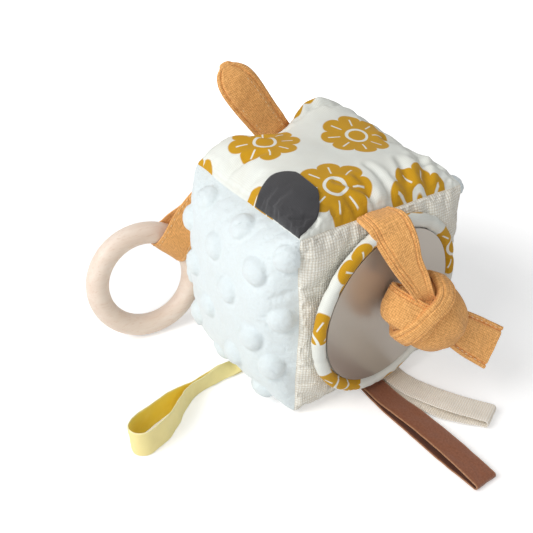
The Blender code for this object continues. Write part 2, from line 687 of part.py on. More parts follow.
def build():
    clear_scene()
    block = make_collection("soft_fabric_block")
    helpers = make_collection("cutters")
    materials = {
        "print": make_material("printed_cotton", (0.78, 0.80, 0.74), 0.85),
        "plush": make_material("dimple_plush", (0.82, 0.87, 0.91), 0.95),
        "canvas": make_material("canvas", (0.70, 0.66, 0.57), 0.90),
        "label": make_material("label", (0.06, 0.06, 0.065), 0.80),
        "fill": make_material("fill", (0.90, 0.90, 0.90), 1.0),
        "wadding": make_material("wadding", (0.85, 0.85, 0.83), 1.0),
        "mirror": make_material("mirror", (0.80, 0.80, 0.80), 0.08, 1.0),
        "strap": make_material("orange_cotton", (0.80, 0.38, 0.11), 0.85),
        "wood": make_material("beech", (0.78, 0.64, 0.47), 0.55),
        "yellow": make_material("yellow_ribbon", (0.86, 0.64, 0.18), 0.50),
        "brown": make_material("brown_satin", (0.18, 0.075, 0.04), 0.40),
        "cream": make_material("cream_grosgrain", (0.68, 0.59, 0.47), 0.70),
    }
    panel_cloth = {
        "top_panel": "print",
        "left_panel": "plush",
        "right_panel": "plush",
        "front_panel": "canvas",
        "back_panel": "canvas",
        "bottom_panel": "canvas",
    }
    for face, cloth in panel_cloth.items():
        segments = DOTTED_SEGMENTS if face in DOTTED_PANELS else PLAIN_SEGMENTS
        make_panel(face, segments, materials[cloth], block)
    make_puffed_body("fill_core", CORE_SEGMENTS, PANEL_THICKNESS + FILL_ROOM, materials["fill"], block)
    cutter = make_puffed_body("block_form", CUTTER_SEGMENTS, -GAP, materials["fill"], helpers)
    hide_helper(cutter)
    make_mirror(materials, cutter, block)
    make_label(materials["label"], block)
    make_tab(materials["strap"], block)
    make_ring_and_strap(materials, block)
    knot_strap = make_knot_strap(materials["strap"], block)
    carry(knot_strap, make_knot(materials["strap"], block, helpers))
    carry(knot_strap, make_knot_tail(materials["strap"], block))
    make_yellow_ribbon(materials["yellow"], block)
    make_flat_ribbon(
        "brown_ribbon", BROWN_PIVOT, BROWN_LENGTH, BROWN_WIDTH, BROWN_OPENING,
        (0, 0, 0.01, 0.005, -0.005), (0, 0, 0, 0, 0), materials["brown"], block,
    )
    make_flat_ribbon(
        "cream_ribbon", CREAM_PIVOT, CREAM_LENGTH, CREAM_WIDTH, CREAM_OPENING,
        (0, 0, 0.03, 0.115, 0.31), (0, 0, 0.05, 0.10, 0.05), materials["cream"], block,
    )


build()
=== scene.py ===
"""The finished look of a stuffed fabric activity block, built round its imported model.

Metres, in the model's own frame: +Z up, the mirror facing -Y, the block standing on z = 0.
"""

import random
from math import atan2, cos, exp, hypot, pi, radians, sin, sqrt, tanh

import bmesh
import bpy
from mathutils import Matrix, Vector, noise
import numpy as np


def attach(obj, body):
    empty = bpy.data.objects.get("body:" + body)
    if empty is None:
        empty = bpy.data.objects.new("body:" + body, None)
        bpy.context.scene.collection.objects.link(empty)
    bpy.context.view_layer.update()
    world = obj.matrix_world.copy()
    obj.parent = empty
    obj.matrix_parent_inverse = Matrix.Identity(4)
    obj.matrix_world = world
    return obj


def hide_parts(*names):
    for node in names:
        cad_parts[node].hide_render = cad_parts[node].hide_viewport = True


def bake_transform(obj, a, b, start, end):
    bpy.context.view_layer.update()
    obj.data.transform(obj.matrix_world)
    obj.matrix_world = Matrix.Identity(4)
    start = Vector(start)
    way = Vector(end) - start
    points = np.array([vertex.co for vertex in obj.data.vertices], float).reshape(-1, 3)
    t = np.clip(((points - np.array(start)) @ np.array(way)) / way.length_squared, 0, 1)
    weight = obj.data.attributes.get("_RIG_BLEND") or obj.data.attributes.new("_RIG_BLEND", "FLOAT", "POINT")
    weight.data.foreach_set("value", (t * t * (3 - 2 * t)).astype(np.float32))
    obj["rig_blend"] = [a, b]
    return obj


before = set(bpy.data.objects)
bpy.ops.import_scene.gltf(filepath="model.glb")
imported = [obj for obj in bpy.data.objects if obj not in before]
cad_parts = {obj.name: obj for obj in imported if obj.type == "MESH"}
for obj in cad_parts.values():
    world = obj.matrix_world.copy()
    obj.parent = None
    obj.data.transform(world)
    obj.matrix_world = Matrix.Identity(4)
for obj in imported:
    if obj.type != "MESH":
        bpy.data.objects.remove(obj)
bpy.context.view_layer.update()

# The lumps of the loose stuffing come from this seed, so each run gives the same cloth
LUMPS_SEED = 1795986398
noise.seed_set(LUMPS_SEED)

MM = 0.001
RIGHT = Vector((1, 0, 0))
BACK = Vector((0, 1, 0))
UP = Vector((0, 0, 1))

# The camera, at the height and turn that the picture was taken from
CAMERA_TURN = radians(-34.39)
CAMERA_RISE = radians(32.39)
CAMERA_ROLL = radians(0.37)
CAMERA_DISTANCE = 348.7 * MM
CAMERA_ASIDE = -30.03 * MM
CAMERA_LIFT = -1.55 * MM
CAMERA_AIM_HEIGHT = 50 * MM
CAMERA_LENS = 42.73
CAMERA_SENSOR = 36

# The stuffed block, from seam to seam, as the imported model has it
BLOCK_WIDTH = 100 * MM
BLOCK_DEPTH = 90 * MM
BLOCK_HEIGHT = 100.5 * MM
HALF = Vector((BLOCK_WIDTH / 2, BLOCK_DEPTH / 2, BLOCK_HEIGHT / 2))
SEAM_BOTTOM = 2.5 * MM
SEAM_TOP = SEAM_BOTTOM + BLOCK_HEIGHT
CENTRE = Vector((0, 0, SEAM_BOTTOM + HALF.z))
CLOTH_THICKNESS = 1.0 * MM
STUFFING_INSIDE = 3.2
SMOOTH_ANGLE = radians(60)
SEAM_DRAW = 1.2 * MM
SEAM_TUCK = 0.5 * MM
SEAM_TUCK_WIDTH = 1.1 * MM
GAP = 0.3 * MM
PANEL_CELLS = 112
PLUSH_CELLS = 150

# Each panel is cut a little too large and pressed out by the stuffing, in a model ten times
# the size, where the cloth solver is at its best
SHEET_CELLS = 64
SHEET_SCALE = 10
SHEET_SLACK = 0.045
SHEET_STEPS = 22
SHEET_SETTINGS = {
    "quality": 6, "mass": 0.25, "tension_stiffness": 15, "compression_stiffness": 15,
    "shear_stiffness": 5, "bending_stiffness": 0.12, "air_damping": 2, "use_pressure": True,
    "uniform_pressure_force": 1.2,
}
FURTHEST_OUT = 1.8 * MM
DRAWN_IN = {"back": 2.8 * MM, "top": 2.2 * MM}
DRAWN_IN_WIDTH = 8.0 * MM
FURTHEST_ASIDE = 2.0 * MM

# Where the stuffing bulges further: place, which way, how far and how far round
BULGES = (
    (Vector((27.0, 44.1, 110.0)) * MM, Vector((0, 0.28, 0.96)), 15.6 * MM, 24.0 * MM),
    (Vector((-32.0, 40.5, 109.0)) * MM, Vector((-0.14, 0.08, 0.98)), 7.0 * MM, 18.5 * MM),
    (Vector((56.0, -19.8, 50.2)) * MM, Vector((0.96, -0.29, 0)), 4.8 * MM, 30.0 * MM),
    (Vector((44.0, 9.9, 108.0)) * MM, Vector((0.38, 0, 0.92)), 3.6 * MM, 24.0 * MM),
)

# Each panel: the directions across, up and out of it, its crown and how square it is
PANELS = {
    "top": (RIGHT, BACK, UP, 16.0 * MM, 3.0),
    "bottom": (RIGHT, -BACK, -UP, 3.0 * MM, 4.0),
    "front": (RIGHT, UP, -BACK, 5.0 * MM, 4.0),
    "back": (-RIGHT, UP, BACK, 13.0 * MM, 3.0),
    "right": (BACK, UP, RIGHT, 11.5 * MM, 3.0),
    "left": (-BACK, UP, -RIGHT, 15.5 * MM, 3.0),
}

# The raised dots of the plush
DOT_RADIUS = 6.75 * MM
DOT_HEIGHT = 3.6 * MM
DOT_FOOT_DEPTH = 0.30 * MM

# The mirror patch
MIRROR_RADIUS = 41.5 * MM
MIRROR_THICKNESS = 0.8 * MM
MIRROR_PAD_THICKNESS = 1.2 * MM
MIRROR_FACE_OUT = 8.8 * MM
MIRROR_LIFT = 0.5 * MM
MIRROR_YAW = radians(4)
BINDING_RADIUS = 3.4 * MM
BINDING_CELLS = (360, 28)
BINDING_GATHERS = 46

# The label patch, sewn into the left seam of the top panel
LABEL_WIDTH = 36.0 * MM
LABEL_REACH = 20.0 * MM
LABEL_LEAN = 4.8 * MM
LABEL_FROM_FRONT = 18.3 * MM
LABEL_CELLS = 60
LABEL_LIFTS = (0.80 * MM, 1.65 * MM)
LABEL_EDGE_SINK = 0.4 * MM

# The folded cotton strap
STRAP_WIDTH = 21.0 * MM
STRAP_LAYER = 1.2 * MM
STRAP_DOUBLE = 3.0 * MM
STITCH_LENGTH = 1.9 * MM
STITCH_PITCH = 3.0 * MM
STITCH_RADIUS = 0.20 * MM

# The wooden ring
RING_OUTER_RADIUS = 34.5 * MM
RING_BAR_RADIUS = 6.25 * MM
RING_MIDDLE_RADIUS = RING_OUTER_RADIUS - RING_BAR_RADIUS

# The knot
KNOT_WIDTH = 38.0 * MM
TAIL_LENGTH = 20.0 * MM

RIBBON_LAYER = 0.8 * MM
LOOP_STEPS = 12
FOLD_STEPS = 16


def direction(turn, rise):
    """Straight ahead of the mirror, turned to the right and raised by the given degrees."""
    turn, rise = radians(turn), radians(rise)
    return (RIGHT * sin(turn) - BACK * cos(turn)) * cos(rise) + UP * sin(rise)


def clip(value, low=0, high=1):
    return min(high, max(low, value))


def smooth_step(low, high, value):
    share = clip((value - low) / (high - low))
    return share * share * (3 - 2 * share)


def colour(code):
    """A colour written as on a dye card, in the values that a shader takes."""
    parts = [int(code[index:index + 2], 16) / 255 for index in (0, 2, 4)]
    return (*[part / 12.92 if part < 0.04 else ((part + 0.055) / 1.055) ** 2.4 for part in parts], 1)


# Shader nodes


class Value:
    """A value in a shader. Sums with it put math nodes into its tree."""

    def __init__(self, tree, socket):
        self.tree, self.socket = tree, socket

    def work(self, operation, *others):
        return work_out(self.tree, operation, self, *others)

    def clamped(self):
        self.socket.node.use_clamp = True
        return self

    def __add__(self, other):
        return self.work("ADD", other)

    def __sub__(self, other):
        return self.work("SUBTRACT", other)

    def __rsub__(self, other):
        return work_out(self.tree, "SUBTRACT", other, self)

    def __mul__(self, other):
        return self.work("MULTIPLY", other)

    def __truediv__(self, other):
        return self.work("DIVIDE", other)

    def __rtruediv__(self, other):
        return work_out(self.tree, "DIVIDE", other, self)


def fill_in(tree, item, values):
    """Set a node's inputs, or link them where the value comes from another node."""
    for name, value in values.items():
        if isinstance(value, Value):
            tree.links.new(value.socket, item.inputs[name])
        else:
            item.inputs[name].default_value = value


def add_node(tree, kind, values=None, output=0, **settings):
    item = tree.nodes.new(kind)
    for name, value in settings.items():
        setattr(item, name, value)
    fill_in(tree, item, values or {})
    return Value(tree, item.outputs[output])


def work_out(tree, operation, *values):
    return add_node(tree, "ShaderNodeMath", dict(enumerate(values)), operation=operation)


def sides_of(place):
    sides = add_node(place.tree, "ShaderNodeSeparateXYZ", {0: place}).socket.node.outputs
    return [Value(place.tree, side) for side in sides]


def noise_at(place, scale, detail, roughness=0.5, distortion=0.0, output=0):
    return add_node(place.tree, "ShaderNodeTexNoise", {
        "Vector": place, "Scale": scale, "Detail": detail, "Roughness": roughness,
        "Distortion": distortion,
    }, output)


def blend_colours(tree, share, first, second, blend_type="MIX"):
    return add_node(
        tree, "ShaderNodeMix", {0: share, 6: first, 7: second}, 2, data_type="RGBA", blend_type=blend_type
    )


def make_group(name, wire, output, **inputs):
    """A group that works out one value. Each input is a starting number or a kind of socket."""
    tree = bpy.data.node_groups.new(name, "ShaderNodeTree")
    for label, value in inputs.items():
        kind = value if isinstance(value, str) else "Float"
        socket = tree.interface.new_socket(
            label.replace("_", " "), in_out="INPUT", socket_type="NodeSocket" + kind
        )
        if kind == "Float":
            socket.default_value = value
    label, kind = output
    tree.interface.new_socket(label, in_out="OUTPUT", socket_type="NodeSocket" + kind)
    source = tree.nodes.new("NodeGroupInput").outputs
    result = wire(*[Value(tree, source[index]) for index in range(len(inputs))])
    fill_in(tree, tree.nodes.new("NodeGroupOutput"), {0: result})
    return tree


def use_group(group, place, **values):
    values = {label.replace("_", " "): value for label, value in values.items()}
    return add_node(place.tree, "ShaderNodeGroup", {"Place": place, **values}, node_tree=group)


def wire_weave(place, pitch):
    """Threads that pass over and under each other, a pitch apart."""
    tree, kind = place.tree, "ShaderNodeVectorMath"
    wobble = noise_at(place, 180, 1, output="Color")
    shift = add_node(tree, kind, {0: wobble, 1: (0.5, 0.5, 0.5)}, operation="SUBTRACT")
    threads = add_node(tree, kind, {0: place, "Scale": 1 / pitch}, operation="SCALE")
    bent = add_node(tree, kind, {0: shift, 1: (0.7, 0.7, 0.7), 2: threads}, operation="MULTIPLY_ADD")
    x, y = sides_of(bent)[:2]
    heights = []
    for along, across, sign in ((x, y, 0.4), (y, x, -0.4)):
        centred = along.work("FRACT") * 2 - 1
        profile = (1 - centred * centred).clamped().work("SQRT")
        phase = (across + along.work("FLOOR")) * pi
        heights.append(profile * (phase.work("SINE") * sign + 0.6))
    return heights[0].work("MAXIMUM", heights[1])


def wire_mottle_and_painted_shade(place, dye, scale, amount, height, thread_shade):
    """Uneven dye and soft wear: a colour made lighter, or darker and warmer, in patches. Painted shade as
    well: the colour is darkened, and warmed, where the height is low between threads and tufts.
    """
    level = (noise_at(place, scale, 4, 0.6) - 0.5) * amount + 1
    # Painted shade: the low places of the height, between threads and tufts, are darkened by the thread
    # shade
    shade = level * (height * thread_shade + 1 - thread_shade)
    # The darker parts, dye patches and painted shade alike, are made warmer
    warm = add_node(place.tree, "ShaderNodeCombineXYZ", {
        index: shade.work("POWER", power) for index, power in enumerate((0.85, 1.15, 1.55))
    })
    return blend_colours(place.tree, 1.0, dye, warm, "MULTIPLY")


def wire_blossoms(place, spacing, radius):
    """Where the print's eight-petalled blossoms are, in staggered rows."""
    turned = add_node(place.tree, "ShaderNodeMapping", {
        "Vector": place, "Rotation": (0, 0, radians(24)), "Location": (0.006, 0.013, 0),
    })
    across, up = sides_of(turned)[:2]
    row = up / spacing
    column = across / spacing + row.work("FLOOR") * 0.5
    x, y = ((side.work("FRACT") - 0.5) * spacing for side in (column, row))
    reach = (x * x + y * y).work("SQRT") / radius
    turn = y.work("ARCTAN2", x) * 4
    petals = turn.work("COSINE").work("ABSOLUTE").work("POWER", 0.5) * 0.22 + 0.80
    inside = ((petals - reach) * 30).clamped()
    eye = (((reach - 0.30).work("ABSOLUTE") - 0.035) * 60).clamped()
    veins = ((turn.work("SINE").work("ABSOLUTE") - 0.06 / reach) * 12).clamped()
    middle = ((0.50 - reach) * 30).clamped()
    outer = ((reach - 0.78) * 30).clamped()
    return inside * eye * veins.work("MAXIMUM", middle).work("MAXIMUM", outer)


def wire_selvedge(place, half_width, edge_width):
    """Where a ribbon's firm edge is, from its cloth place and half its width."""
    inset = half_width - sides_of(place)[1].work("ABSOLUTE")
    return (1 - inset / edge_width).clamped()


def wire_ribs(place, pitch):
    """Fine ribs that run across a ribbon."""
    return (sides_of(place)[0] / pitch * (2 * pi)).work("SINE") * 0.5 + 0.5


HEIGHT, MASK, SHADED_DYE = ("Height", "Float"), ("Mask", "Float"), ("Colour", "Color")
WEAVE = make_group("plain_weave", wire_weave, HEIGHT, Place="Vector", Pitch=0.0005)
RIBS = make_group("cross_ribs", wire_ribs, HEIGHT, Place="Vector", Pitch=0.001)
# Uneven dye in patches, with painted shade between the threads
MOTTLE_AND_PAINTED_SHADE = make_group(
    "dye_mottle_and_painted_shade", wire_mottle_and_painted_shade, SHADED_DYE, Place="Vector", Colour="Color", Scale=60.0, Amount=0.2, Height=1.0,
    Thread_Shade=0.2,
)
BLOSSOMS = make_group("blossom_print", wire_blossoms, MASK, Place="Vector", Spacing=0.046, Radius=0.018)
SELVEDGE = make_group(
    "ribbon_selvedge", wire_selvedge, MASK, Place="Vector", Half_Width=0.007, Edge_Width=0.0009
)


def start_material(name):
    material = bpy.data.materials.new(name)
    material.use_nodes = True
    tree = material.node_tree
    return material, tree, tree.nodes["Principled BSDF"]


def cloth_place(tree):
    return add_node(tree, "ShaderNodeUVMap", uv_map="cloth")


def object_place(tree):
    return add_node(tree, "ShaderNodeTexCoord", output="Object")


def add_bump(tree, height, relief):
    return add_node(tree, "ShaderNodeBump", {"Height": height, "Distance": relief, "Strength": 1.0})


def finish_shader(tree, shader, base, height, relief, roughness, sheen, sheen_roughness=0.5):
    fill_in(tree, shader, {
        "Base Color": base, "Roughness": roughness, "Sheen Weight": sheen,
        "Sheen Roughness": sheen_roughness, "Specular IOR Level": 0.25,
        "Normal": add_bump(tree, height, relief),
    })


def woven(name, code, pitch, relief, thread_shade, amount, roughness=0.9, sheen=0.15, code_inside=None,
          weave=WEAVE, selvedge=None, patches=60.0):
    """A woven cloth of one colour, with painted shade between its threads; a ribbon's inside and its edges
    may have others, and the yellow ribbon's golden inside is painted shade and bounced light.
    """
    material, tree, shader = start_material(name)
    place = cloth_place(tree)
    height = use_group(weave, place, Pitch=pitch)
    base = colour(code)
    # The inside layer's colour: on the yellow ribbon, painted shade and bounced light inside the loop
    if code_inside:
        inside = add_node(tree, "ShaderNodeAttribute", output="Fac", attribute_name="inside")
        base = blend_colours(tree, inside, base, colour(code_inside))
    if selvedge:
        edge_code, half_width = selvedge
        edge = use_group(SELVEDGE, place, Half_Width=half_width)
        base = blend_colours(tree, edge, base, colour(edge_code))
    # Uneven dye, with painted shade between the threads as deep as the thread shade says
    base = use_group(
        MOTTLE_AND_PAINTED_SHADE, place, Colour=base, Scale=patches, Amount=amount, Height=height, Thread_Shade=thread_shade
    )
    finish_shader(tree, shader, base, height, relief, roughness, sheen)
    return material


def printed(name, ground, ink, pitch, relief):
    """A plain weave with the blossom print, and painted shade between its threads."""
    material, tree, shader = start_material(name)
    place = cloth_place(tree)
    height = use_group(WEAVE, place, Pitch=pitch)
    base = blend_colours(tree, use_group(BLOSSOMS, place), colour(ground), colour(ink))
    # Painted shade between the threads, with the uneven dye
    base = use_group(MOTTLE_AND_PAINTED_SHADE, place, Colour=base, Amount=0.16, Height=height, Thread_Shade=0.12)
    finish_shader(tree, shader, base, height, relief, 0.9, 0.1)
    return material


def furry(name, code, relief):
    """Short soft pile: fine tufts with a pale bloom, and painted shade between the tufts."""
    material, tree, shader = start_material(name)
    place = object_place(tree)
    tufts = noise_at(place, 900, 3, 0.7, 0.6)
    height = noise_at(place, 220, 2) * 1.2 + tufts
    # Painted shade between the tufts, with the uneven dye
    base = use_group(
        MOTTLE_AND_PAINTED_SHADE, place, Colour=colour(code), Scale=120.0, Amount=0.08, Height=tufts, Thread_Shade=0.10
    )
    finish_shader(tree, shader, base, height, relief, 1.0, 0.5, 0.6)
    return material


def wooden(name, pale, dark):
    """Turned wood: fine flecks, and broader rings of a darker tone."""
    material, tree, shader = start_material(name)
    place = object_place(tree)
    flecks_place, rings_place = (
        add_node(tree, "ShaderNodeMapping", {
            "Vector": place, "Rotation": (0, radians(35), 0), "Scale": stretch,
        }) for stretch in ((60.0, 420.0, 420.0), (14.0, 120.0, 120.0))
    )
    flecks = noise_at(flecks_place, 3, 3, 0.6)
    rings = noise_at(rings_place, 1.6, 2, distortion=0.4)
    share = (((flecks - 0.56) * 5).clamped() * 0.35 + rings * 0.55).clamped()
    base = blend_colours(tree, share, colour(pale), colour(dark))
    finish_shader(tree, shader, base, flecks, 0.06 * MM, flecks * 0.2 + 0.38, 0.0)
    fill_in(tree, shader, {"Specular IOR Level": 0.5, "Coat Weight": 0.12, "Coat Roughness": 0.35})
    return material


def mirror_film(name, dark, pale):
    """A soft mirror sheet: a little hazy and never quite flat, with a painted reflection in soft patches of
    a darker and a paler tone.
    """
    material, tree, shader = start_material(name)
    place = object_place(tree)
    waves = noise_at(place, 22, 1)
    haze_and_painted_reflection = noise_at(place, 26, 1)
    # Painted reflection: the sheet's tone swings between dark and pale in soft patches, standing in for what
    # it reflects; the same patches vary its haze
    fill_in(tree, shader, {
        "Base Color": blend_colours(tree, haze_and_painted_reflection, colour(dark), colour(pale)), "Metallic": 0.48,
        "Roughness": haze_and_painted_reflection * 0.10 + 0.24, "Normal": add_bump(tree, waves, 0.6 * MM),
    })
    return material


# A woven cloth's fifth value, its thread shade, is how much painted shade lies between its threads
MATERIALS = {
    "print": printed("printed_cotton", "E9ECE6", "CB991B", 0.80 * MM, 0.05 * MM),
    "binding": printed("binding_cotton", "E9ECE6", "CB991B", 0.80 * MM, 0.05 * MM),
    "plush": furry("dimple_plush", "E4EFF3", 0.35 * MM),
    "canvas": woven("canvas", "F0EFE7", 1.35 * MM, 0.42 * MM, 0.32, 0.30, patches=500.0),
    "label": woven("label_cloth", "3F3F42", 0.80 * MM, 0.05 * MM, 0.18, 0.10, 0.8),
    "strap": woven("orange_cotton", "F6BA74", 1.00 * MM, 0.18 * MM, 0.50, 1.25, 0.95, 0.15, patches=800.0),
    "thread": woven("pale_thread", "F4D9AE", 0.30 * MM, 0.03 * MM, 0.10, 0.10),
    # The yellow ribbon's golden inside colour, FFE760, is painted shade and bounced light inside the loop
    "yellow": woven(
        "yellow_ribbon", "FBECA6", 0.60 * MM, 0.05 * MM, 0.10, 0.10, 0.6, 0.1, "FFE760",
        selvedge=("F8EEB8", 7.5 * MM),
    ),
    "brown": woven(
        "brown_satin", "8E583D", 0.50 * MM, 0.05 * MM, 0.34, 1.00, 0.38, 0.3, "5E3524",
        selvedge=("B98763", 6.5 * MM), patches=900.0,
    ),
    "cream": woven(
        "cream_grosgrain", "FAF4E9", 1.10 * MM, 0.12 * MM, 0.16, 0.10, 0.75, 0.15, weave=RIBS,
        selvedge=("F6F1E8", 7.0 * MM),
    ),
    "fill": furry("stuffing", "EEEEEC", 0.6 * MM),
    "wood": wooden("beech", "F3E6D9", "CFA98A"),
    # The darker and paler tones of the mirror's painted reflection
    "mirror": mirror_film("mirror_sheet", "A8A096", "BDB6AC"),
}


# Pieces


def mesh_from(name, bm):
    mesh = bpy.data.meshes.new(name)
    bm.to_mesh(mesh)
    bm.free()
    return mesh


def add_to_scene(name, data):
    item = bpy.data.objects.new(name, data)
    bpy.context.scene.collection.objects.link(item)
    return item


def start_cloth(has_inside=False):
    """An empty bmesh that can hold places on the cloth, and which points are on the inside."""
    bm = bmesh.new()
    bm.loops.layers.uv.new("cloth")
    if has_inside:
        bm.verts.layers.float.new("inside")
    return bm


def mark_cloth(bm, place_of):
    cloth = bm.loops.layers.uv["cloth"]
    for cell in bm.faces:
        for corner in cell.loops:
            corner[cloth].uv = place_of(corner.vert.co)


def double_up(bm):
    """Grow a second layer out of all the faces, joined to them at the edge."""
    grown = bmesh.ops.extrude_face_region(bm, geom=bm.faces[:])
    return [item for item in grown["geom"] if isinstance(item, bmesh.types.BMVert)]


def two_layers(across, up, has_inside=False):
    """A square grid of cloth in two layers: the bmesh, and the points of each layer."""
    bm = start_cloth(has_inside)
    bmesh.ops.create_grid(bm, x_segments=across, y_segments=up, size=1)
    inner = bm.verts[:]
    return bm, inner, double_up(bm)


def finish_piece(name, bm, finish, body, slot, *nodes):
    """A bmesh as a finished piece that rides on a body and stands for the given nodes."""
    bmesh.ops.recalc_face_normals(bm, faces=bm.faces[:])
    if bm.calc_volume(signed=True) < 0:
        bmesh.ops.reverse_faces(bm, faces=bm.faces[:])
    mesh = mesh_from(name, bm)
    mesh.shade_smooth()
    mesh.set_sharp_from_angle(angle=SMOOTH_ANGLE)
    mesh.materials.append(MATERIALS[finish])
    piece = add_to_scene(name, mesh)
    if isinstance(body, str):
        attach(piece, body)
    else:
        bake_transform(piece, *body)
    if nodes:
        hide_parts(*nodes)
    return piece


def swell(share, power):
    return sqrt(1 - min(1, abs(share)) ** power)


def crowd_edges(share):
    return share * (1 + 0.25 * (1 - share * share))


def bulge(point):
    """How far the stuffing pushes the skin out near its fuller places."""
    push = Vector()
    for place, towards, far, reach in BULGES:
        push += towards * (far * exp(-(((point - place).length / reach) ** 2)))
    return push


def half_sizes(face):
    across, up = PANELS[face][:2]
    return abs(across.dot(HALF)), abs(up.dot(HALF))


def seam_distance(face, u, v):
    half_across, half_up = half_sizes(face)
    return min((1 - abs(u)) * half_across, (1 - abs(v)) * half_up)


def block_point(face, u, v):
    """The block's puffed surface at (u, v), each from -1 to 1."""
    across, up, out, crown, power = PANELS[face]
    half_across, half_up = half_sizes(face)
    to_side = (1 - abs(u)) * half_across
    to_end = (1 - abs(v)) * half_up
    draw_side = u**4 * SEAM_DRAW * (1 - v * v)
    draw_end = v**4 * SEAM_DRAW * (1 - u * u)
    tuck_side = SEAM_TUCK * exp(-to_side / SEAM_TUCK_WIDTH)
    tuck_end = SEAM_TUCK * exp(-to_end / SEAM_TUCK_WIDTH)
    puff = crown * swell(u, power) * swell(v, power)
    side_sign = 1 if u > 0 else -1
    end_sign = 1 if v > 0 else -1
    point = CENTRE + across * (u * half_across - side_sign * (draw_side + tuck_side))
    point += up * (v * half_up - end_sign * (draw_end + tuck_end))
    point += out * (abs(out.dot(HALF)) + puff - draw_side - draw_end - max(tuck_side, tuck_end))
    return point + bulge(point)


# Folds on the panels: from (u, v) to (u, v), width and depth
FOLDS = {
    "top": (
        (0.16, 0.78, 0.40, 0.74, 2.6, 2.0), (0.40, 0.74, 0.52, 0.67, 2.6, 2.6),
        (0.52, 0.67, 0.86, 0.68, 2.6, 2.4), (-0.30, 0.95, -0.05, 0.72, 2.2, 1.3),
        (0.55, -0.98, 0.75, -0.45, 2.6, 2.0), (0.30, -0.98, 0.42, -0.60, 2.2, 1.6),
        (0.98, -0.30, 0.70, -0.10, 2.6, 2.0), (-0.55, 0.98, -0.35, 0.62, 2.8, 1.7),
        (-0.98, 0.45, -0.60, 0.30, 2.4, 1.4), (-0.10, -0.98, -0.15, -0.70, 1.8, 1.1),
        (0.10, -0.97, 0.05, -0.55, 1.8, 1.2), (-0.35, -0.62, -0.12, -0.92, 1.8, 1.4),
        (0.85, -0.75, 0.60, -0.62, 2.0, 1.5), (0.96, 0.25, 0.72, 0.32, 2.2, 1.4),
    ),
    "front": (
        (-0.98, 0.80, -0.82, 0.30, 2.5, 0.7), (-0.97, -0.75, -0.75, -0.85, 2.5, 0.8),
        (0.90, 0.95, 0.86, 0.55, 2.5, 0.7),
    ),
    "back": (
        (-0.90, 0.90, -0.55, 0.45, 3.5, 1.5), (0.90, 0.92, 0.50, 0.55, 3.5, 1.4),
        (-0.95, -0.90, -0.60, -0.55, 3.5, 1.3), (0.95, -0.85, 0.55, -0.60, 3.0, 1.3),
        (0.00, 0.98, 0.10, 0.60, 3.0, 1.0), (0.20, -0.98, 0.05, -0.65, 3.0, 1.0),
    ),
    "bottom": (), "right": (), "left": (),
}
PUCKERS_A_SIDE = 9


def make_puckers(face):
    """Short gathers that run in from each seam: side, place along it, reach, width, depth."""
    dice = random.Random("puckers " + face)
    stiffness = 0.3 if face in DOTS else 1.2
    puckers = []
    for side in range(4):
        for number in range(PUCKERS_A_SIDE):
            along = (number + dice.uniform(0.15, 0.85)) / PUCKERS_A_SIDE * 2 - 1
            puckers.append((
                side, along * 0.94, dice.uniform(4, 13) * MM, dice.uniform(1.4, 2.8) * MM,
                dice.uniform(-0.55, 0.35) * stiffness * MM,
            ))
    return puckers


def fold_depth(face, u, v, puckers):
    half_across, half_up = half_sizes(face)
    x, y = u * half_across, v * half_up
    total = 0
    for u0, v0, u1, v1, width, depth in FOLDS[face]:
        ax, ay = u0 * half_across, v0 * half_up
        dx, dy = u1 * half_across - ax, v1 * half_up - ay
        share = ((x - ax) * dx + (y - ay) * dy) / (dx * dx + dy * dy)
        held = clip(share)
        away = hypot(x - ax - dx * held, y - ay - dy * held) / (width * MM)
        if away < 4:
            fade = sin(pi * (0.5 * held + 0.25))
            total += depth * MM * fade * (0.45 * exp(-((away - 2) ** 2)) - exp(-away * away))
    for side, along, reach, width, depth in puckers:
        into = (1 - u, 1 + u, 1 - v, 1 + v)[side] * (half_across if side < 2 else half_up)
        if into < 2.5 * reach:
            aside = ((y - along * half_up) if side < 2 else (x - along * half_across)) / width
            if abs(aside) < 3:
                total += depth * exp(-aside * aside) * exp(-((into / reach) ** 2))
    return total * smooth_step(0, 1.6 * MM, seam_distance(face, u, v))


def stuffing_lumps(point):
    """How far the loose stuffing pushes the cloth about, the same on both sides of a seam."""
    return noise.noise_vector(point * 38) * (0.9 * MM) + noise.noise_vector(point * 90) * (0.35 * MM)


def curve_between(before, start, end, after, t):
    """A place between start and end on a smooth curve through all four."""
    pull_start = (end - before) * ((t**3 - 2 * t**2 + t) / 2)
    pull_end = (after - start) * ((t**3 - t**2) / 2)
    return start + (end - start) * (3 * t**2 - 2 * t**3) + pull_start + pull_end


def lay_out_sheet(face):
    """A panel's points in rows, before it is pressed out, and the ones that are sewn down."""
    out = PANELS[face][2]
    puckers = make_puckers(face)
    rows, sewn = [], set()
    for i in range(SHEET_CELLS + 1):
        row = []
        for j in range(SHEET_CELLS + 1):
            u, v = (crowd_edges(2 * step / SHEET_CELLS - 1) for step in (i, j))
            point = block_point(face, u, v)
            point += stuffing_lumps(point) + out * fold_depth(face, u, v, puckers)
            to_seam = seam_distance(face, u, v)
            point -= out * (DRAWN_IN.get(face, 0) * smooth_step(0, DRAWN_IN_WIDTH, to_seam))
            behind_mirror = face == "front" and hypot(point.x, point.z - CENTRE.z) < MIRROR_RADIUS + 5 * MM
            if i in (0, SHEET_CELLS) or j in (0, SHEET_CELLS) or behind_mirror:
                sewn.add((i, j))
            row.append(point)
        rows.append(row)
    return rows, sewn


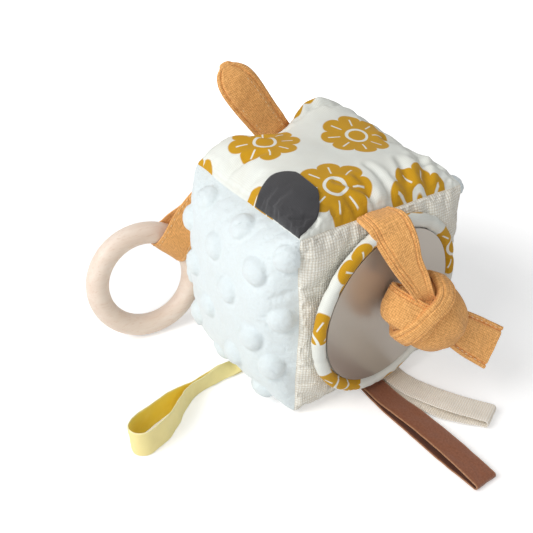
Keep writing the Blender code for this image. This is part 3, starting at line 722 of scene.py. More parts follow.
def press_out(face, rows, sewn):
    """Let the stuffing press a panel out against the stitches that hold it."""
    scene = bpy.context.scene
    bm = bmesh.new()
    bmesh.ops.create_grid(bm, x_segments=SHEET_CELLS, y_segments=SHEET_CELLS, size=1)
    keys = []
    for vert in bm.verts:
        i, j = (round((side + 1) / 2 * SHEET_CELLS) for side in (vert.co.x, vert.co.y))
        keys.append((i, j))
        vert.co = (rows[i][j] - CENTRE) * SHEET_SCALE
    mesh = mesh_from("sheet_" + face, bm)
    sheet = add_to_scene("sheet_" + face, mesh)
    stitches = sheet.vertex_groups.new(name="stitches")
    stitches.add([number for number, key in enumerate(keys) if key in sewn], 1, "REPLACE")
    cloth = sheet.modifiers.new("cloth", "CLOTH")
    settings = cloth.settings
    for name, value in SHEET_SETTINGS.items():
        setattr(settings, name, value)
    settings.vertex_group_mass = stitches.name
    settings.shrink_min = -SHEET_SLACK * (0.3 if face in DOTS else 1)
    settings.effector_weights.gravity = 0
    cloth.collision_settings.use_collision = False
    for step in range(1, SHEET_STEPS + 1):
        scene.frame_set(step)
    pressed = sheet.evaluated_get(bpy.context.evaluated_depsgraph_get()).data.vertices
    out = PANELS[face][2]
    for (i, j), vert in zip(keys, pressed):
        shift = CENTRE + vert.co / SHEET_SCALE - rows[i][j]
        outward = shift.dot(out)
        aside = shift - out * outward
        if aside.length > FURTHEST_ASIDE:
            aside *= FURTHEST_ASIDE / aside.length
        rows[i][j] = rows[i][j] + aside + out * (FURTHEST_OUT * tanh(outward / FURTHEST_OUT))
    bpy.data.objects.remove(sheet, do_unlink=True)
    bpy.data.meshes.remove(mesh)
    scene.frame_set(1)


SHEETS = {}


def make_sheet(face):
    rows, sewn = lay_out_sheet(face)
    if face != "bottom":
        press_out(face, rows, sewn)
    SHEETS[face] = rows


def sheet_point(face, x, y):
    """A place on a pressed-out panel, from -1 to 1 in even steps of its cloth."""
    rows = SHEETS[face]
    column, row = ((side + 1) / 2 * SHEET_CELLS for side in (x, y))
    i, j = (clip(int(place), 0, SHEET_CELLS - 1) for place in (column, row))
    lines = []
    for offset in (-1, 0, 1, 2):
        line = rows[clip(i + offset, 0, SHEET_CELLS)]
        places = [line[clip(j + step, 0, SHEET_CELLS)] for step in (-1, 0, 1, 2)]
        lines.append(curve_between(*places, row - j))
    return curve_between(*lines, column - i)


def loosen_edges(share):
    """The even step that crowd_edges moves to a given share."""
    step = share
    for _ in range(6):
        step -= (crowd_edges(step) - share) / (1.25 - 0.75 * step * step)
    return step


# Where the plush dots stand: on the left as seen, on the right in staggered rows
DOTS = {
    "left": (
        (-0.50, 0.90), (0.235, 0.895), (-0.08, 0.565), (0.64, 0.595), (0.955, 0.80), (0.235, 0.225),
        (-0.20, -0.185), (0.935, 0.135), (0.615, -0.15), (0.305, -0.51), (0.86, -0.435),
        (-0.78, 0.55), (-0.52, 0.19), (-0.86, -0.12), (-0.60, -0.52), (-0.16, -0.84), (-0.92, -0.82),
        (0.62, -0.86),
    ),
    "right": (
        (-0.80, 0.92), (-0.36, 0.93), (-0.02, 0.72), (0.68, 0.70), (-0.38, 0.38), (0.34, 0.36), (0.88, 0.22),
        (-0.58, 0.06), (-0.04, 0.00), (0.60, -0.14), (-0.50, -0.34), (0.22, -0.46), (0.86, -0.52),
        (-0.80, -0.76), (-0.10, -0.82), (0.55, -0.86),
    ),
}


def make_panel(face, finish, slot, plush=False):
    """A panel's cloth, with its pile and dots where it is plush."""
    out = PANELS[face][2]
    half_across, half_up = half_sizes(face)
    cells = PLUSH_CELLS if plush else PANEL_CELLS
    steps = [2 * step / cells - 1 for step in range(cells + 1)]
    places = [[sheet_point(face, x, y) for y in steps] for x in steps]
    dots = []
    for u, v in DOTS[face] if plush else ():
        dots.append(sheet_point(face, loosen_edges(u), loosen_edges(v)))
    bm, inner, outer = two_layers(cells, cells)
    mark_cloth(bm, lambda co: (crowd_edges(co.x) * half_across, crowd_edges(co.y) * half_up))
    for layer, is_outer in ((inner, False), (outer, True)):
        for vert in layer:
            i, j = (round((side + 1) / 2 * cells) for side in (vert.co.x, vert.co.y))
            point = places[i][j]
            along = places[min(cells, i + 1)][j] - places[max(0, i - 1)][j]
            upwards = places[i][min(cells, j + 1)] - places[i][max(0, j - 1)]
            facing = along.cross(upwards).normalized()
            if facing.dot(out) < 0:
                facing = out
            if is_outer and plush:
                raised = 0
                for dot in dots:
                    away = (point - dot).length / DOT_RADIUS
                    if away < 1.6:
                        raised += DOT_HEIGHT * max(0, 1 - away * away) ** 0.62
                        raised -= DOT_FOOT_DEPTH * exp(-(((away - 1.15) * 5) ** 2))
                pile = noise.noise(point * 620) * 0.16 * MM + noise.noise(point * 1500) * 0.12 * MM
                vert.co = point + facing * (raised + pile)
            elif is_outer:
                vert.co = point
            else:
                vert.co = point - facing * CLOTH_THICKNESS
            vert.co.z = max(0.0, vert.co.z)
    return finish_piece(face + "_" + finish, bm, finish, "block", slot, face + "_panel")


def make_stuffing():
    bm = bmesh.new()
    bmesh.ops.create_cube(bm, size=2)
    bmesh.ops.subdivide_edges(bm, edges=bm.edges[:], cuts=31, use_grid_fill=True)
    for vert in bm.verts:
        place = vert.co.copy()
        face = max(PANELS, key=lambda name: place.dot(PANELS[name][2]))
        across, up = PANELS[face][:2]
        u, v = crowd_edges(place.dot(across)), crowd_edges(place.dot(up))
        point = block_point(face, u, v)
        shrink = 1 - (STUFFING_INSIDE + noise.noise(point * 120)) * MM / HALF.x
        inward = DRAWN_IN.get(face, 0) * (1 - u * u) ** 0.5 * (1 - v * v) ** 0.5
        vert.co = CENTRE + (point - CENTRE) * shrink - PANELS[face][2] * inward
    return finish_piece("stuffing", bm, "fill", "block", "fill", "fill_core")


def mirror_frame(out):
    """A place on the mirror's axis: local z points out of the mirror."""
    facing = Vector((sin(MIRROR_YAW), -cos(MIRROR_YAW), 0))
    middle = CENTRE + UP * MIRROR_LIFT - BACK * (HALF.y + MIRROR_FACE_OUT) + facing * out
    turn = Matrix((Vector((cos(MIRROR_YAW), sin(MIRROR_YAW), 0)), UP, facing)).transposed()
    return Matrix.Translation(middle) @ turn.to_4x4()


def make_disc(name, thickness, front, finish, slot, node):
    bm = bmesh.new()
    bmesh.ops.create_circle(bm, cap_ends=True, segments=96, radius=MIRROR_RADIUS)
    for _ in range(10):
        middle = [cell for cell in bm.faces if cell.calc_center_median().length < MIRROR_RADIUS * 0.02]
        bmesh.ops.inset_region(bm, faces=middle, thickness=MIRROR_RADIUS * 0.095)
    bmesh.ops.translate(bm, verts=double_up(bm), vec=(0, 0, -thickness))
    bmesh.ops.transform(bm, matrix=mirror_frame(front), verts=bm.verts[:])
    return finish_piece(name, bm, finish, "block", slot, node)


def make_binding():
    """The bound edge round the mirror, drawn into small gathers."""
    ring = MIRROR_RADIUS + GAP + BINDING_RADIUS
    dice = random.Random("binding gathers")
    gathers = [(dice.uniform(0, 2 * pi), dice.uniform(0.02, 0.05), dice.uniform(-0.45, 0.25) * MM)
               for _ in range(BINDING_GATHERS)]
    bm = start_cloth()
    along, around = BINDING_CELLS
    bmesh.ops.create_grid(bm, x_segments=along, y_segments=around, size=pi)
    mark_cloth(bm, lambda co: (co.x * ring, co.y * BINDING_RADIUS))
    for vert in bm.verts:
        turn, roll = vert.co.x, vert.co.y
        bar = BINDING_RADIUS
        for place, width, depth in gathers:
            away = (turn - place + pi) % (2 * pi) - pi
            if abs(away) < 3 * width:
                bar += depth * exp(-((away / width) ** 2))
        bar -= 0.35 * MM * exp(-(((roll - 2.45) / 0.16) ** 2))
        reach = ring + bar * cos(roll)
        lift = bar * sin(roll) * 0.92 - BINDING_RADIUS / 2
        vert.co = Vector((reach * cos(turn), reach * sin(turn), lift))
    bmesh.ops.remove_doubles(bm, verts=bm.verts[:], dist=0.00001)
    bmesh.ops.transform(bm, matrix=mirror_frame(0), verts=bm.verts[:])
    return finish_piece("mirror_edging", bm, "binding", "block", "printed_cotton", "mirror_binding")


def make_label():
    bm, *layers = two_layers(LABEL_CELLS, LABEL_CELLS)
    mark_cloth(bm, lambda co: (co.x * LABEL_REACH / 2, co.y * LABEL_WIDTH / 2))
    for layer, lift in zip(layers, LABEL_LIFTS):
        for vert in layer:
            edge = max(abs(vert.co.x), abs(vert.co.y))
            reach = (vert.co.x + 1) / 2
            outward = (UP - RIGHT * (0.5 - 0.5 * smooth_step(0, 0.3, reach))).normalized()
            rounding = max(0, (reach - 0.35) / 0.65)
            half_width = sqrt(1 - rounding**2 * (1 - 0.4**2)) * LABEL_WIDTH / 2
            x = -HALF.x * 0.998 + reach * (LABEL_REACH + 0.4 * MM)
            y = -HALF.y + LABEL_FROM_FRONT + reach * LABEL_LEAN + vert.co.y * half_width
            u, v = x / HALF.x, max(-0.975, y / HALF.y)
            point = sheet_point("top", loosen_edges(u), loosen_edges(v))
            vert.co = point + outward * (lift - LABEL_EDGE_SINK * smooth_step(0.94, 1, edge))
    return finish_piece("label", bm, "label", "block", "label", "label_patch")


# Straps and ribbons


def smooth_through(values, steps):
    result = []
    last = len(values) - 1
    for index in range(last):
        before, after = values[max(0, index - 1)], values[min(last, index + 2)]
        for step in range(steps):
            result.append(curve_between(before, values[index], values[index + 1], after, step / steps))
    result.append(values[last])
    return result


def heading(points, index):
    return points[min(len(points) - 1, index + 1)] - points[max(0, index - 1)]


def loop_frames(spine, across, half_gaps, splay=None):
    """Frames of a band that runs out along one side of the spine, over, and back.

    The layer that runs out may be splayed aside by the given amounts.
    """
    middle = smooth_through(spine, LOOP_STEPS)
    sides = smooth_through(across, LOOP_STEPS)
    gaps = smooth_through(half_gaps, LOOP_STEPS)
    shifts = smooth_through(splay or [0.0] * len(spine), LOOP_STEPS)
    offs = []
    for index, side in enumerate(sides):
        offs.append(heading(middle, index).normalized().cross(side).normalized() * gaps[index])
    onwards = sides[-1].cross(offs[-1]).normalized() * gaps[-1]
    fold = []
    for step in range(1, FOLD_STEPS):
        angle = pi * step / FOLD_STEPS
        fold.append(middle[-1] - offs[-1] * cos(angle) + onwards * sin(angle))
    points = [m - off + side * shift for m, off, side, shift in zip(middle, offs, sides, shifts)] + fold
    points += [m + off for m, off in zip(middle, offs)][::-1]
    return band_frames(points, sides + [sides[-1]] * len(fold) + sides[::-1])


def band_frames(points, sides):
    """For each point of a band: the point, its side and the way out of its outer face."""
    frames = []
    for index, (point, side) in enumerate(zip(points, sides)):
        frames.append((point, side, side.cross(heading(points, index)).normalized()))
    return frames


# Sewn lines along a folded strap: which edge, or 0 for both and round the end, then how far
# in from it, how wide and how deep
STRAP_LINES = (
    (0, 1.2 * MM, 0.26 * MM, 0.22), (0, 2.5 * MM, 0.34 * MM, 0.40), (-1, 4.3 * MM, 0.34 * MM, 0.34),
)
TAB_LINES = ((-1, 2.3 * MM, 0.55 * MM, 0.85), (1, 2.3 * MM, 0.55 * MM, 0.85))
RIBBON_LINES = ((0, 0.9 * MM, 0.25 * MM, 0.25),)
EDGE_SHARE = 0.35
LINES_FADE_BELOW = 6 * MM


def band_height(y, half_width, to_end, thickness, lines):
    """Half the band's thickness at a place across it."""
    round_off = EDGE_SHARE + (1 - EDGE_SHARE) * sqrt(max(0, 1 - abs(y) ** 14))
    cut = 0
    fade = min(1, half_width / LINES_FADE_BELOW) ** 4
    for edge, inset, width, depth in lines:
        near = min((1 - abs(y)) * half_width, to_end) if edge == 0 else (1 + edge * -y) * half_width
        cut += depth * fade * exp(-(((near - inset) / width) ** 2))
    return thickness / 2 * round_off * (1 - cut)


def band_lengths(frames):
    lengths = [0.0]
    for index in range(len(frames) - 1):
        lengths.append(lengths[-1] + (frames[index + 1][0] - frames[index][0]).length)
    return lengths


def root_freedom(lengths, reach):
    """How free a band is to curl: not at all where it is sewn in."""
    return min(1, min(reach, lengths[-1] - reach) / (8 * MM))


def band_bmesh(frames, width, thickness, lines=(), cells=56, crumple=0.0, cup=0.0, ends_round=False,
               sag=None):
    """A band along its frames. Its edges may be cupped inwards, or sag as a function says."""
    last = len(frames) - 1
    lengths = band_lengths(frames)
    bm, inner, outer = two_layers(last, cells, has_inside=True)
    inside = bm.verts.layers.float["inside"]
    mark_cloth(bm, lambda co: (lengths[round((co.x + 1) / 2 * last)], crowd_edges(co.y) * width / 2))
    for layer, sign in ((inner, -1), (outer, 1)):
        for vert in layer:
            index = round((vert.co.x + 1) / 2 * last)
            point, side, out = frames[index]
            y = crowd_edges(vert.co.y)
            half_width = width / 2 * side.length
            to_end = abs(lengths[index] - lengths[-1] / 2) if ends_round else 1.0
            # The inner layer is marked here; the yellow ribbon's material paints shade and bounced light on
            # it
            vert[inside] = 1.0 if sign < 0 else 0.0
            spot = point + side * (y * width / 2)
            sway = noise.noise(spot * 160) * crumple + noise.noise(spot * 420) * crumple * 0.3
            sway -= cup * abs(y) ** 3 * root_freedom(lengths, lengths[index])
            if sag:
                sway -= sag(index / last, y)
            vert.co = spot + out * (sign * band_height(y, half_width, to_end, thickness, lines) + sway)
    return bm


def make_band(name, frames, width, thickness, finish, body, slot, *nodes, **form):
    bm = band_bmesh(frames, width, thickness, **form)
    return finish_piece(name, bm, finish, body, slot, *nodes)


def make_stitching(name, frames, width, thickness, rows, body, first=0.04, last=0.96, cup=0.0):
    """Short pale stitches that run along a band, at the given distances in from its edges."""
    lengths = band_lengths(frames)
    bm = start_cloth(has_inside=True)
    for edge, inset, face in rows:
        reach = lengths[-1] * first
        while reach < lengths[-1] * last:
            index = max(i for i, length in enumerate(lengths) if length <= reach)
            index = min(index, len(frames) - 2)
            point, side, out = frames[index]
            ahead = (frames[index + 1][0] - point).normalized()
            half_width = width / 2 * side.length
            y = edge * (1 - inset / half_width)
            share = (reach - lengths[index]) / (lengths[index + 1] - lengths[index])
            spot = point.lerp(frames[index + 1][0], share) + side * (y * width / 2)
            lift = band_height(y, half_width, 1.0, thickness, STRAP_LINES) + 0.3 * STITCH_RADIUS
            spot += out * (face * lift - cup * abs(y) ** 3 * root_freedom(lengths, reach))
            turn = Matrix((ahead, out.cross(ahead).normalized(), out)).transposed().to_4x4()
            size = Matrix.Diagonal((STITCH_LENGTH / 2, STITCH_RADIUS, STITCH_RADIUS, 1))
            bmesh.ops.create_uvsphere(
                bm, u_segments=6, v_segments=5, radius=1,
                matrix=Matrix.Translation(spot) @ turn @ size,
            )
            reach += STITCH_PITCH
    return finish_piece(name, bm, "thread", body, "orange_cotton")


def seam_pivot(face, u, v, outward, half_thickness):
    across, up, out = PANELS[face][:3]
    point = CENTRE + across * (u * abs(across.dot(HALF))) + up * (v * abs(up.dot(HALF)))
    point += out * abs(out.dot(HALF))
    if abs(u) == 1:
        point -= (across * u + out) * (SEAM_DRAW * (1 - v * v))
    else:
        point -= (up * v + out) * (SEAM_DRAW * (1 - u * u))
    return point + bulge(point) + outward.normalized() * (half_thickness + GAP * 3)


def share_of(distance, whole):
    return distance / whole * 2 - 1


STRAP_HALF = STRAP_LAYER + GAP / 2
RIBBON_HALF = RIBBON_LAYER + GAP / 2
TAB_LEFT_END = seam_pivot("top", share_of(41.5 * MM, BLOCK_WIDTH), 1, BACK + UP, STRAP_HALF)
TAB_RIGHT_END = seam_pivot("top", share_of(62.5 * MM, BLOCK_WIDTH), 1, BACK + UP, STRAP_HALF)
TAB_PIVOT = (TAB_LEFT_END + TAB_RIGHT_END) / 2
KNOT_STRAP_PIVOT = seam_pivot(
    "top", share_of(41.0 * MM, BLOCK_WIDTH), -1, UP - BACK, STRAP_DOUBLE * 0.25 / 2
)
RING_STRAP_PIVOT = seam_pivot(
    "left", -1, share_of(71.0 * MM - SEAM_BOTTOM, BLOCK_HEIGHT), BACK - RIGHT, STRAP_HALF
)
YELLOW_PIVOT = seam_pivot("bottom", -1, -share_of(46.3 * MM, BLOCK_DEPTH), -RIGHT - UP, RIBBON_HALF)
BROWN_PIVOT = seam_pivot("bottom", share_of(47.0 * MM, BLOCK_WIDTH), 1, -BACK - UP, RIBBON_HALF)
CREAM_PIVOT = seam_pivot("bottom", share_of(61.5 * MM, BLOCK_WIDTH), 1, -BACK - UP, RIBBON_HALF)

RING_FACING = direction(-3.5, 7.9)
RING_HELD_TOWARDS = RIGHT * cos(radians(44.6)) + UP * sin(radians(44.6))
RING_CENTRE = Vector((
    -HALF.x - 27.7 * MM,
    HALF.y + 16.6 * MM,
    RING_MIDDLE_RADIUS * sqrt(1 - RING_FACING.z**2) + RING_BAR_RADIUS,
))
RING_HELD = (RING_HELD_TOWARDS - RING_FACING * RING_HELD_TOWARDS.dot(RING_FACING)).normalized()
RING_PIVOT = RING_CENTRE + RING_HELD * RING_MIDDLE_RADIUS
RING_TANGENT = RING_HELD.cross(RING_FACING).normalized()

KNOT_PLACE = Vector((9.0 * MM, -HALF.y - MIRROR_FACE_OUT - 16.2 * MM, SEAM_TOP - 47.0 * MM))
KNOT_FACING = direction(-19.4, 25.5)
TAIL_TOWARDS = direction(55.4, -31.0)
TAIL_PIVOT = KNOT_PLACE + TAIL_TOWARDS * (KNOT_WIDTH / 2 + GAP)
PRESSED_STRAP = (STRAP_LAYER + GAP) / 2
PRESSED_RIBBON = (RIBBON_LAYER + GAP) / 2


def make_tab():
    lean_angle, length, opening = radians(31), 51.0 * MM, 3.4 * MM
    lean = Vector((-sin(lean_angle), sin(radians(3)), cos(lean_angle))).normalized()
    side = Vector((cos(lean_angle), 0, sin(lean_angle)))
    spine = []
    steps = (0, 0.22, 0.45, 0.66, 0.80, 0.90, 0.96, 1)
    for along, bow in zip(steps, (0, -0.025, -0.05, -0.065, -0.075, -0.08, -0.085, -0.085)):
        spine.append(TAB_PIVOT + lean * (along * length) + side * (bow * length))
    across = [(TAB_RIGHT_END - TAB_LEFT_END).normalized()]
    for share, twist in (
        (0.94, 6), (0.98, 14), (1.0, 19), (0.94, 22), (0.78, 22), (0.58, 22), (0.32, 22),
    ):
        across.append((side * cos(radians(twist)) - BACK * sin(radians(twist))) * share)
    gaps = [PRESSED_STRAP + share * opening / 2 for share in (0, 0.1, 0.5, 0.9, 0.9, 0.6, 0.3, 0)]
    frames = loop_frames(spine, across, gaps)
    body = ("block", "top_tab", TAB_PIVOT, TAB_PIVOT + lean * (12 * MM))
    tab = make_band(
        "tab_loop", frames, STRAP_WIDTH, STRAP_LAYER * 1.6, "strap", body, "orange_cotton", "top_tab",
        lines=TAB_LINES, crumple=0.7 * MM, cup=1.5 * MM, ends_round=True,
    )
    make_stitching(
        "tab_stitching", frames, STRAP_WIDTH, STRAP_LAYER * 1.6, ((-1, 4.2 * MM, 1), (1, 4.2 * MM, 1)),
        body, cup=1.5 * MM, last=0.40,
    )


def make_ring():
    turn = Matrix((RING_HELD, RING_FACING.cross(RING_HELD), RING_FACING)).transposed()
    place = Matrix.Translation(RING_CENTRE) @ turn.to_4x4()
    bm = bmesh.new()
    stand = Matrix.Translation((RING_MIDDLE_RADIUS, 0, 0)) @ Matrix.Rotation(pi / 2, 4, "X")
    bmesh.ops.create_circle(bm, segments=40, radius=RING_BAR_RADIUS, matrix=stand)
    bmesh.ops.spin(
        bm, geom=bm.verts[:] + bm.edges[:], cent=(0, 0, 0), axis=(0, 0, 1), angle=2 * pi,
        steps=140, use_merge=True,
    )
    bmesh.ops.transform(bm, matrix=place, verts=bm.verts[:])
    finish_piece("teething_ring", bm, "wood", "wooden_ring", "beech", "wooden_ring")


def make_ring_strap():
    bend = RING_MIDDLE_RADIUS - sqrt(RING_MIDDLE_RADIUS**2 - (STRAP_WIDTH / 2) ** 2)
    fold = RING_PIVOT - RING_HELD * (bend / 2)
    root = RING_STRAP_PIVOT + UP * (4.5 * MM)
    reach = fold - root
    slant = UP * (1 / sqrt(1 - reach.normalized().z ** 2))
    side = RING_TANGENT if RING_TANGENT.z > 0 else -RING_TANGENT
    open_gap = RING_BAR_RADIUS + 1.2 * MM + STRAP_LAYER / 2
    spine = [root + reach * share for share in (0, 0.2, 0.5, 0.75, 1)]
    across = [slant.lerp(side, share) for share in (0, 0.15, 0.55, 0.9, 1)]
    gaps = [PRESSED_STRAP + (open_gap - PRESSED_STRAP) * share for share in (0, 0.12, 0.55, 0.9, 1)]
    frames = loop_frames(spine, across, gaps)
    body = ("block", "ring_strap", RING_STRAP_PIVOT, root + reach * 0.5)
    strap = make_band(
        "ring_loop", frames, STRAP_WIDTH, STRAP_LAYER, "strap", body, "orange_cotton", "ring_strap",
        lines=STRAP_LINES, crumple=0.25 * MM,
    )
    make_stitching(
        "ring_loop_stitching", frames, STRAP_WIDTH, STRAP_LAYER, ((-1, 1.8 * MM, 1), (1, 1.8 * MM, 1)), body
    )


def knot_frame():
    """Local z faces out of the knot and local x runs towards the tail."""
    along = (TAIL_TOWARDS - KNOT_FACING * TAIL_TOWARDS.dot(KNOT_FACING)).normalized()
    turn = Matrix((along, KNOT_FACING.cross(along), KNOT_FACING)).transposed()
    return Matrix.Translation(KNOT_PLACE) @ turn.to_4x4()


def wrap_frames(place, path, steps=10):
    """Frames of a band wrapped round the knot, from its points, ways out and shares of its width."""
    points = [place @ (Vector(entry[0]) * MM) for entry in path]
    outs = [place.to_3x3() @ Vector(entry[1]).normalized() for entry in path]
    shares = smooth_through([Vector((entry[2], 0, 0)) for entry in path], steps)
    points, outs = smooth_through(points, steps), smooth_through(outs, steps)
    frames = []
    for index, point in enumerate(points):
        ahead = heading(points, index)
        side = ahead.cross(outs[index]).normalized()
        frames.append((point, side * shares[index].x, side.cross(ahead).normalized()))
    return frames


def knot_body(place, middle, radii, pleats):
    """A rounded bundle of cloth; its pleats run out towards the strap's end."""
    bm = start_cloth(has_inside=True)
    bmesh.ops.create_uvsphere(bm, u_segments=96, v_segments=60, radius=1)
    for vert in bm.verts:
        vert.co = vert.co.zxy
    mark_cloth(bm, lambda co: (co.x * 19 * MM, atan2(co.y, co.z) * 14 * MM))
    for vert in bm.verts:
        x, y, z = vert.co
        turn = atan2(y, z)
        fold = pleats * smooth_step(0.1, 0.9, x) * (0.6 * sin(turn * 7 + x * 2.5) + 0.4 * sin(turn * 3 + 1))
        shape = Vector((x * radii[0], y * radii[1], z * radii[2])) + Vector((0, y, z)) * fold
        vert.co = place @ ((Vector(middle) + shape) * MM)
    return bm


def make_knot():
    place = knot_frame()
    pieces = [
        knot_body(place, (-7, -3, -1), (14.5, 12.5, 7.6), 0),
        knot_body(place, (2.2, -0.3, -0.6), (19.4, 17.3, 9.8), 1.5),
    ]
    # Round the left end: from under the crossing band, over the front, and round behind
    lobe = []
    for turn, height in (
        (-24, -5.6), (-6, -5.6), (14, -5.6), (34, -5.4), (54, -5.0), (72, -4.5), (90, -3.8), (108, -3.0),
        (130, -2.2), (160, -1.0),
    ):
        turn = radians(turn)
        depth = 10.2 if cos(turn) > 0 else 7.6
        lobe.append((
            (-6 - 16.4 * sin(turn), height, depth * cos(turn)), (-sin(turn) / 16.4, 0, cos(turn) / depth), 1,
        ))
    pieces.append(band_bmesh(
        wrap_frames(place, lobe), 16.6 * MM, 3.0 * MM,
        ((1, 1.3 * MM, 0.35 * MM, 0.5), (1, 2.8 * MM, 0.35 * MM, 0.4)), crumple=0.6 * MM,
        sag=lambda along, y: (4.0 * max(0, -y) ** 2 + 1.2 * max(0, y) ** 3 * along) * MM,
    ))
    # The crossing band, from behind the knot's top, down over its front and under
    band = []
    for x, y, z, share in (
        (-6.5, 11.5, -8.5, 1), (-5.8, 16.0, -4.5, 1), (-5.2, 17.6, 0, 1), (-4.2, 16.8, 4.2, 1),
        (-1.8, 13.6, 8.0, 0.98), (-1.0, 9.4, 10.4, 0.90), (-2.0, 4.8, 12.0, 0.84), (-4.0, 0.2, 12.6, 0.80),
        (-5.6, -5.0, 12.0, 0.80), (-6.6, -9.8, 10.2, 0.86), (-7.2, -13.8, 7.2, 0.94),
        (-7.4, -16.8, 3.0, 1), (-7.2, -17.4, -1.5, 1), (-6.5, -14.0, -6.8, 1),
    ):
        band.append(((x, y, z), (x / 900, y / 300, z / 145), share))
    pieces.append(band_bmesh(
        wrap_frames(place, band), 10.2 * MM, 2.9 * MM,
        ((1, 2.4 * MM, 0.45 * MM, 0.95), (-1, 1.4 * MM, 0.35 * MM, 0.7), (-1, 4.3 * MM, 0.3 * MM, 0.3)),
        crumple=0.5 * MM, sag=lambda along, y: 0.6 * abs(y) ** 3 * MM,
    ))
    whole = pieces[0]
    for piece in pieces[1:]:
        mesh = mesh_from("wrap", piece)
        whole.from_mesh(mesh)
        bpy.data.meshes.remove(mesh)
    for vert in whole.verts:
        vert.co.y = min(vert.co.y, -HALF.y - MIRROR_FACE_OUT - GAP)
    finish_piece("knot_wraps", whole, "strap", "knot_strap", "orange_cotton", "knot")


def make_knot_strap():
    """The hanging part: over the mirror's edge, drawn in, and down into the knot's pocket."""
    spine, across = [], []
    for x, y, z, turned, share in (
        (0, 0, 0, 0, 0.93), (-0.6, -9.1, 0.4, 0.5, 0.92), (1.2, -13.0, -4.6, 0.9, 0.90),
        (2.8, -17.0, -10.7, 1, 0.84), (5.0, -20.0, -18.5, 1, 0.68), (8.6, -23.2, -26.4, 1, 0.57),
        (11.2, -25.6, -33.4, 1, 0.46), (14.6, -26.4, -39.6, 1, 0.42),
    ):
        spine.append(KNOT_STRAP_PIVOT + Vector((x, y, z)) * MM)
        across.append(RIGHT.lerp(Vector((0.85, -0.22, 0.48)), turned).normalized() * share)
    points = smooth_through(spine, LOOP_STEPS)
    frames = band_frames(points, smooth_through(across, LOOP_STEPS))
    body = ("block", "knot_strap", KNOT_STRAP_PIVOT, KNOT_STRAP_PIVOT + (spine[1] - spine[0]) * 1.2)
    strap = make_band(
        "hanging_strap", frames, STRAP_WIDTH, STRAP_DOUBLE, "strap", body, "orange_cotton",
        "knot_strap", lines=STRAP_LINES, crumple=0.5 * MM,
        sag=lambda along, y: 1.3 * MM * y * y * smooth_step(0.4, 0.8, along),
    )
    length = sum((points[i + 1] - points[i]).length for i in range(len(points) - 1))
    make_stitching(
        "hanging_strap_stitching", frames, STRAP_WIDTH, STRAP_DOUBLE,
        ((-1, 1.8 * MM, 1), (1, 1.8 * MM, 1)), body, last=0.7,
    )


def make_knot_tail():
    side = direction(-58.5, -55.2)
    side = (side - TAIL_TOWARDS * side.dot(TAIL_TOWARDS)).normalized()
    sag = TAIL_TOWARDS.cross(side)
    spine, across = [], []
    for along, bow, share in (
        (-0.22, 0, 0.84), (0, 0, 0.94), (0.36, 0.03, 1.02), (0.74, 0.04, 1.06), (1.08, 0, 1.09),
    ):
        spine.append(TAIL_PIVOT + TAIL_TOWARDS * (along * TAIL_LENGTH) + sag * (bow * TAIL_LENGTH))
        across.append(side * share)
    points = smooth_through(spine, LOOP_STEPS)
    frames = band_frames(points, smooth_through(across, LOOP_STEPS))
    body = ("knot_strap", "knot_tail", TAIL_PIVOT, TAIL_PIVOT + TAIL_TOWARDS * (0.5 * TAIL_LENGTH))
    tail = make_band(
        "strap_end", frames, STRAP_WIDTH, STRAP_DOUBLE, "strap", body, "orange_cotton", "knot_tail",
        lines=TAB_LINES, crumple=0.6 * MM,
    )
    make_stitching(
        "strap_end_stitching", frames, STRAP_WIDTH, STRAP_DOUBLE,
        [(edge, 1.9 * MM, face) for edge in (-1, 1) for face in (-1, 1)], body,
    )


def make_yellow_ribbon():
    """Gathered at its seam, turned up on its edge, its layers together, then an open loop."""
    width, length, opening = 15.0 * MM, 70.5 * MM, 11.6 * MM
    shares = (
        (0, 0, 0, 0, 0.62), (0.10, -0.01, 0.20, 0, 0.58), (0.22, -0.03, 0.62, 0, 0.56),
        (0.36, -0.055, 0.90, 0, 0.58), (0.50, -0.09, 1, 0.02, 0.68), (0.62, -0.14, 1, 0.30, 0.84),
        (0.74, -0.21, 1, 0.68, 0.97), (0.87, -0.275, 1, 0.96, 1), (1, -0.32, 1, 1, 1),
    )
    spine, across, gaps = [], [], []
    for along, aside, turn, apart, full in shares:
        angle = turn * pi / 2
        half_gap = PRESSED_RIBBON + apart * (opening / 2)
        height = full * width / 2 * sin(angle) + (half_gap + RIBBON_LAYER / 2) * cos(angle) + GAP
        place = YELLOW_PIVOT - RIGHT * (along * length) + BACK * (aside * length)
        place.z = YELLOW_PIVOT.z if along == 0 else height
        spine.append(place)
        across.append((BACK * cos(angle) + UP * sin(angle)) * full)
        gaps.append(half_gap)
    frames = loop_frames(spine, across, gaps)
    body = ("block", "yellow_ribbon", YELLOW_PIVOT, YELLOW_PIVOT - RIGHT * (14 * MM))
    ribbon = make_band(
        "yellow_loop", frames, width, RIBBON_LAYER, "yellow", body, "yellow_ribbon", "yellow_ribbon",
        crumple=0.5 * MM, cells=32,
    )


def make_flat_ribbon(name, node, finish, slot, pivot, length, width, opening, aside, rise, splay):
    """A loop on the table, its lower layer splayed a little to the left."""
    spine, gaps = [], []
    last = len(aside) - 1
    for index, share in enumerate((0, 0.2, 0.7, 1, 0.8)):
        half_gap = PRESSED_RIBBON + share * opening / 2
        place = pivot - BACK * (index / last * length) + RIGHT * (aside[index] * length)
        lowest = half_gap + RIBBON_LAYER / 2 + GAP
        place.z = pivot.z if index == 0 else lowest + rise[index] * width
        spine.append(place)
        gaps.append(half_gap)
    ends = spine[last] - spine[1]
    side = Vector((-ends.y, ends.x, 0)).normalized()
    splay = [-share * splay for share in (0, 0.6, 1, 0.8, 0)]
    frames = loop_frames(spine, [RIGHT] + [side] * last, gaps, splay)
    body = ("block", node, pivot, pivot - BACK * (14 * MM))
    ribbon = make_band(
        name, frames, width, RIBBON_LAYER, finish, body, slot, node, lines=RIBBON_LINES, cells=32,
        crumple=0.3 * MM,
    )


# The room


